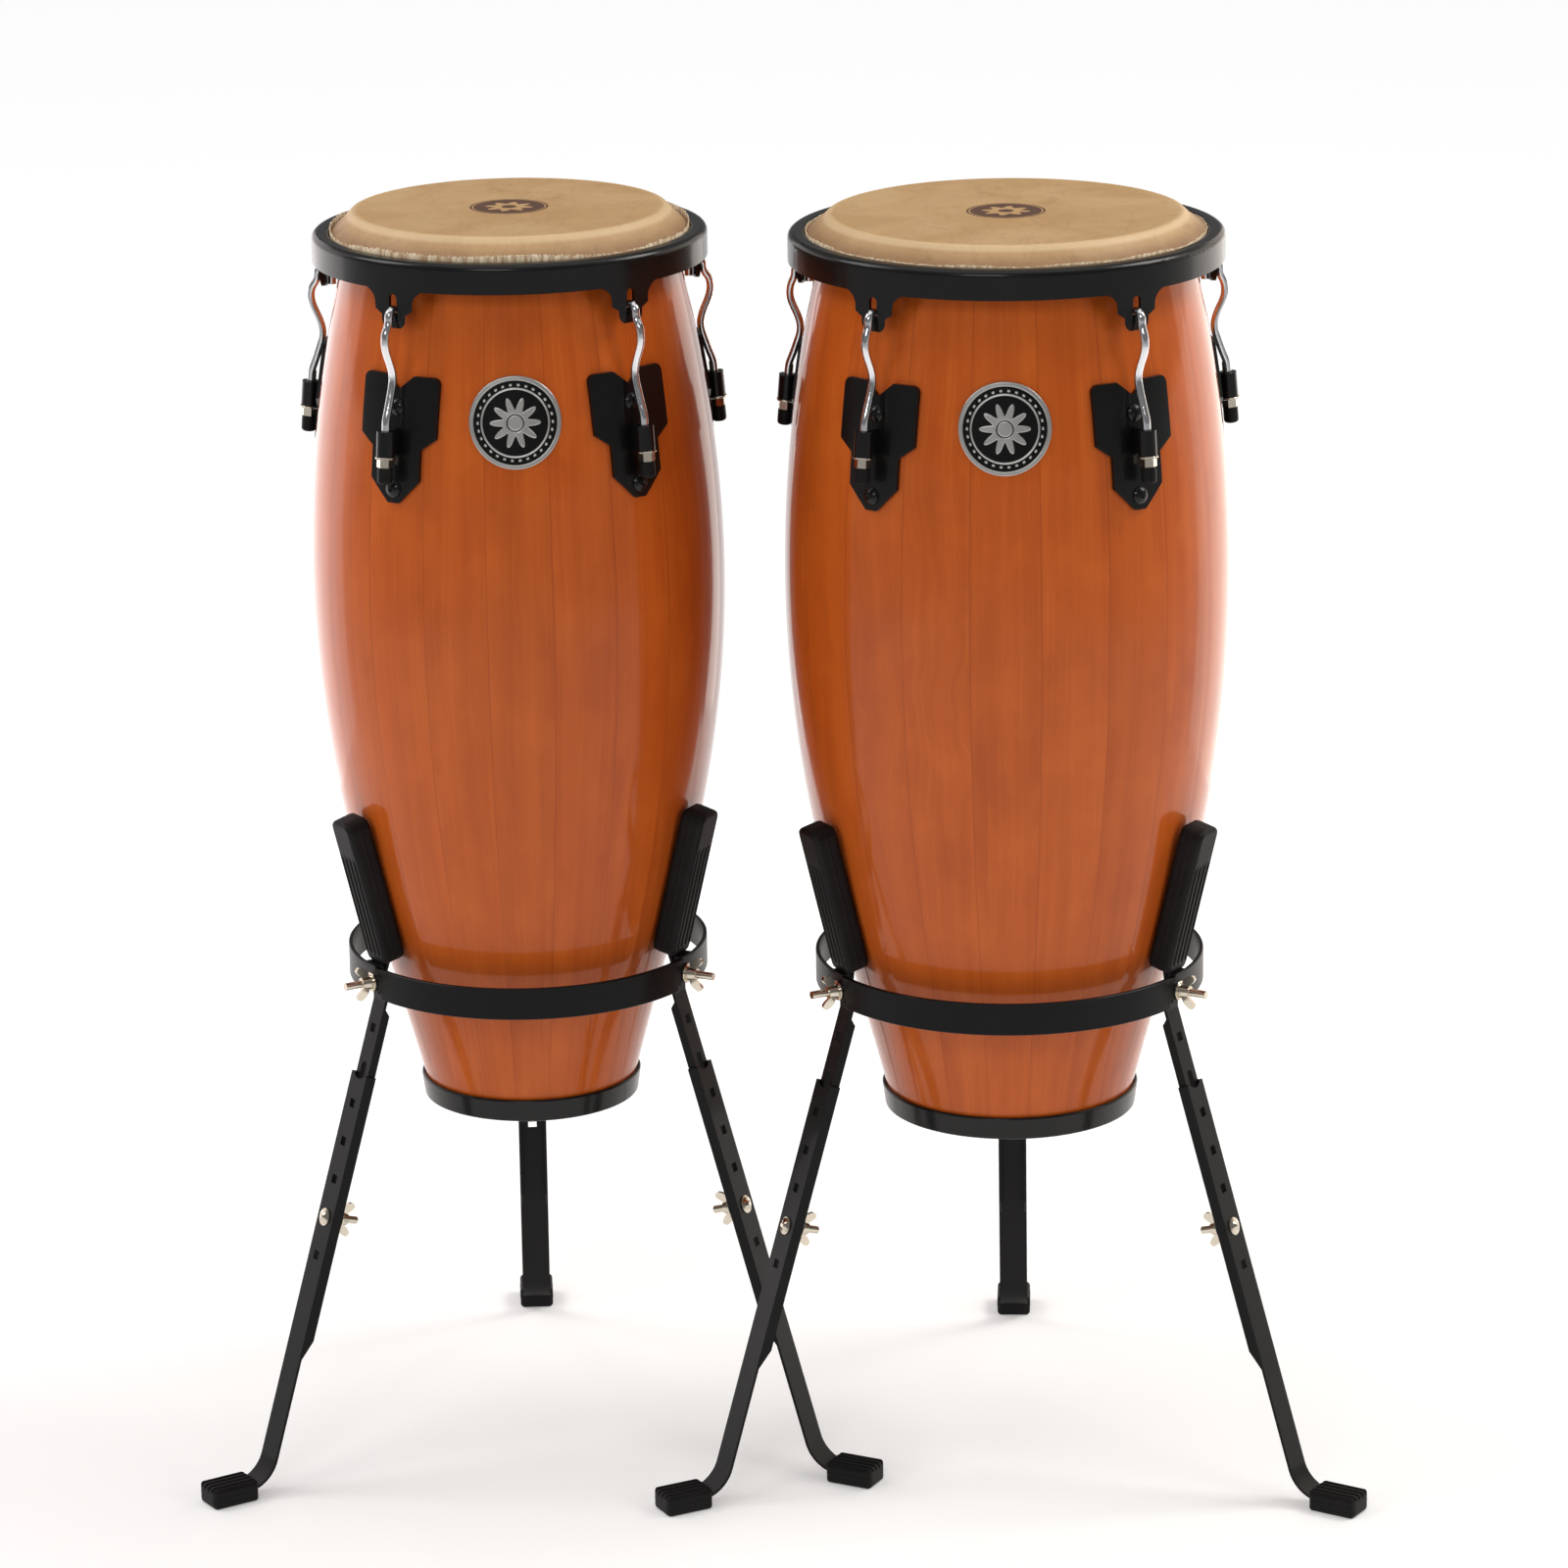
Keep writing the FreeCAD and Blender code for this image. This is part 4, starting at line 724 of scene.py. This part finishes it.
def makePads(mark):
    patches = []
    lean = math.radians(pad["lean"])
    for azimuth in legAzimuths:
        corners = sector(f"arm_pads_{mark}", mark, azimuth)
        alongs = corners[:, 0] * math.sin(lean) + corners[:, 2] * math.cos(lean)
        outs = corners[:, 0] * math.cos(lean) - corners[:, 2] * math.sin(lean)
        long = alongs.max() - alongs.min()
        halfOut = (outs.max() - outs.min()) / 2
        halfAcross = np.abs(corners[:, 1]).max()

        def relief(across, out, along, normal):
            face = np.clip(normal[:, 1], 0, 1) ** 4
            low, high = pad["plainLow"], long - pad["plainTop"]
            reach = smoothStep(low, low + 0.004, along) * (1 - smoothStep(high - 0.004, high, along))
            lines = grooved(across, pad["pitch"], pad["wide"], pad["grooves"])
            sunk = -pad["deep"] * lines * face * reach
            side = np.clip(np.abs(normal[:, 0]), 0, 1) ** 4
            return sunk + pad["parting"] * np.exp(-(out / 0.0006) ** 2) * side

        across, out, along = mouldedBlock(long, halfAcross - pad["parting"], halfOut, pad["corner"],
                                          pad["endRound"], (64, 18, 7), 34, relief)
        out = out + (outs.max() + outs.min()) / 2
        along = along + alongs.min()
        radial = out * math.cos(lean) + along * math.sin(lean)
        up = along * math.cos(lean) - out * math.sin(lean)
        patches.append(patch(toWorld(aroundAxis(radial, across, up, azimuth), mark), poles=True))
    makePiece(f"armPad_{mark}", patches, [rubber], f"stand_{mark}", [f"arm_pads_{mark}"])


foot = {"corner": 0.0034, "endRound": 0.0036, "grooves": 4, "pitch": 0.0058, "wide": 0.0026,
        "deep": 0.0020, "parting": 0.0003}


def makeFeet(mark):
    for leg, azimuth in (("right", 60), ("left", 300), ("rear", 180)):
        corners = sector(f"foot_{mark}_{leg}", mark, azimuth)
        start, stop = corners[:, 0].min(), corners[:, 0].max()
        halfAcross = np.abs(corners[:, 1]).max()
        tall = corners[:, 2].max()

        def relief(across, out, along, normal):
            face = np.clip(normal[:, 1], 0, 1) ** 4
            sunk = -foot["deep"] * grooved(across, foot["pitch"], foot["wide"], foot["grooves"]) * face
            side = np.clip(np.abs(normal[:, 0]), 0, 1) ** 4
            return sunk + foot["parting"] * np.exp(-(out / 0.0006) ** 2) * side

        across, out, along = mouldedBlock(stop - start, halfAcross - foot["parting"], tall / 2,
                                          foot["corner"], foot["endRound"], (56, 18, 7), 14, relief)
        points = toWorld(aroundAxis(along + start, across, out + tall / 2, azimuth), mark)
        makePiece(f"rubberFoot_{mark}_{leg}", [patch(points, poles=True)], [rubber],
                  f"leg_{mark}_{leg}", [f"foot_{mark}_{leg}"])


# badges: thin discs bent round the shell, with a raised border and a plain rosette

badge = {"radius": 0.035, "thick": 0.0012, "border": 0.0036, "proud": 0.0008, "petals": 10}


def badgeRelief(reach, angle):
    # 1 on raised metal, 0 on the sunk field
    inside = badge["radius"] - badge["border"]
    edge = smoothStep(inside, inside + 0.0005, reach)
    ring = smoothStep(0.0245, 0.0249, reach) * (1 - smoothStep(0.0259, 0.0263, reach))
    petal = 0.0145 + 0.0048 * np.cos(badge["petals"] * angle)
    flower = 1 - smoothStep(-0.0003, 0.0003, reach - petal)
    beads = np.cos(30 * angle) * 0.5 + 0.5
    dots = smoothStep(0.55, 0.8, beads) * np.exp(-((reach - 0.0283) / 0.0009) ** 4)
    hollow = smoothStep(0.0055, 0.0060, reach) * (1 - smoothStep(0.0066, 0.0070, reach))
    return np.clip(edge + ring + (flower - hollow) + dots, 0, 1)


def makeBadge(mark):
    low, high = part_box(f"badge_{mark}")
    middle = (low.z + high.z) / 2
    radiusAt = curves[mark][0]
    reach = np.append(np.linspace(0.0006, badge["radius"] - 0.0004, 76), badge["radius"])[:, None]
    angle = np.linspace(0, 2 * math.pi, 240, endpoint=False)[None]
    relief = badgeRelief(reach, angle)
    x = reach * np.cos(angle)
    up = middle + reach * np.sin(angle)
    rise = badge["thick"] + badge["proud"] * relief
    rise[-1] = badge["thick"]
    depth = np.sqrt(np.maximum(radiusAt(up) ** 2 - x ** 2, 0))
    front = np.stack([x, -(depth + rise), up], axis=-1)
    back = np.stack([x, -(depth + 0.0001), up], axis=-1)[::-1]
    points = toWorld(np.concatenate([front, back]), mark)
    wide = np.broadcast_to(reach, relief.shape)
    uv = np.stack([wide, relief], axis=-1)
    uv = np.concatenate([uv, uv[::-1]])
    uv = np.concatenate([uv, uv[:, :1]], axis=1)
    part = patch(points, poles=True, uv={"relief": uv})
    makePiece(f"roundBadge_{mark}", [part], [badgeMetal(mark)], f"drum_{mark}", [f"badge_{mark}"])


# threads on the hooks' lower ends: radius goes from root to crest and back once per pitch

thread = {"pitch": 0.00127, "crest": 0.00330, "root": 0.00300, "aboveEye": 0.0075, "sides": 20,
          "perTurn": 6}


def hookLine(mark, azimuth):
    # the straight lower end runs from the cap's middle up through the nut's
    cap = sector(f"hook_caps_{mark}", mark, azimuth)
    nut = sector(f"tuning_nuts_{mark}", mark, azimuth)
    start = (cap.min(axis=0) + cap.max(axis=0)) / 2
    stop = (nut.min(axis=0) + nut.max(axis=0)) / 2
    start[1] = stop[1] = 0.0
    way = (stop - start) / np.linalg.norm(stop - start)
    return start, way


def makeThreads(mark):
    patches = []
    for azimuth in lugAzimuths:
        start, way = hookLine(mark, azimuth)
        plate = sector(f"side_plates_{mark}", mark, azimuth)
        eyeTop = plate[plate[:, 0] > start[0] - 0.008][:, 2].max()
        long = (eyeTop + thread["aboveEye"] - start[2]) / way[2]
        turns = long / thread["pitch"]
        rows = int(turns * thread["perTurn"])
        along = np.linspace(0.004, long, rows)[:, None]
        angle = np.linspace(0, 2 * math.pi, thread["sides"], endpoint=False)[None]
        ridge = np.abs(((along / thread["pitch"] + angle / (2 * math.pi)) % 1) * 2 - 1)
        fade = np.clip((long - along) / 0.002, 0, 1)
        radius = thread["root"] + (thread["crest"] - thread["root"]) * ridge * fade
        aside = np.array([0.0, 1.0, 0.0])
        other = np.cross(way, aside)
        points = start + along[..., None] * way + (radius * np.cos(angle))[..., None] * aside
        points = points + (radius * np.sin(angle))[..., None] * other
        world = toWorld(aroundAxis(points[..., 0], points[..., 1], points[..., 2], azimuth), mark)
        patches.append(patch(world, poles=True))
    makePiece(f"hookThread_{mark}", patches, [nickel], f"tension_{mark}")


woodOutside = lacqueredWood()
woodInside = rawWood()
rubber = mouldedRubber()
hideFray = frayedHide()
blackCoat = powderCoat("powderCoat", (0.0035, 0.0034, 0.0036), 0.42, 0.22, 1.28)
rimCoat = powderCoat("rimCoat", (0.0030, 0.0028, 0.0028), 0.36, 0.62, 1.38)
chrome = platedMetal("chrome", (0.78, 0.78, 0.80), 0.08, 0.15, 0.04, 0.000008)
nickel = platedMetal("nickel", (0.72, 0.65, 0.54), 0.15, 0.35, 0.20, 0.00006)
for mark in "ab":
    makeShell(mark)
    makeSkin(mark)
    makeFray(mark)
    makePads(mark)
    makeFeet(mark)
    makeBadge(mark)
    makeThreads(mark)
    print("set", mark, "made")

finishes = {"base_band": rimCoat, "side_plates": rimCoat, "plate_screws": rimCoat,
            "flesh_hoop": blackCoat, "rim": rimCoat, "tuning_hooks": chrome, "hook_caps": rubber,
            "tuning_nuts": nickel, "stand_ring": blackCoat, "upper_legs": blackCoat,
            "ring_bolts": nickel, "lower_leg": blackCoat, "leg_bolt": nickel, "ring_nut": nickel,
            "leg_nut": nickel}
for name, item in frame["nodes"].items():
    for start, finish in finishes.items():
        if name.startswith(start + "_"):
            item.data.materials.clear()
            item.data.materials.append(finish)


def makeFloor():
    r = Recipe("paleFloor")
    cloud = r.noise(r.objectPlace(), 3.0, 3.0)
    color = r.mix(cloud * 0.2, studio["floorColor"], (0.80, 0.80, 0.80))
    _, y, _ = r.split(r.objectPlace())
    glow = studio["nearGlow"] + r.step(y, 0.3, 2.4) * (studio["farGlow"] - studio["nearGlow"])
    shine = r.add("ShaderNodeCombineColor", {}, [glow, glow, glow])
    material = r.finish(Base_Color=color, Roughness=0.75, Specular_IOR_Level=0.2, Emission_Color=shine,
                        Emission_Strength=1.0)
    mesh = bpy.data.meshes.new("floor")
    size = 30.0
    corners = [(-size, -size, 0), (size, -size, 0), (size, size, 0), (-size, size, 0)]
    mesh.from_pydata(corners, [], [(0, 1, 2, 3)])
    mesh.materials.append(material)
    item = bpy.data.objects.new("floor", mesh)
    bpy.context.collection.objects.link(item)


makeFloor()
print("scene made")
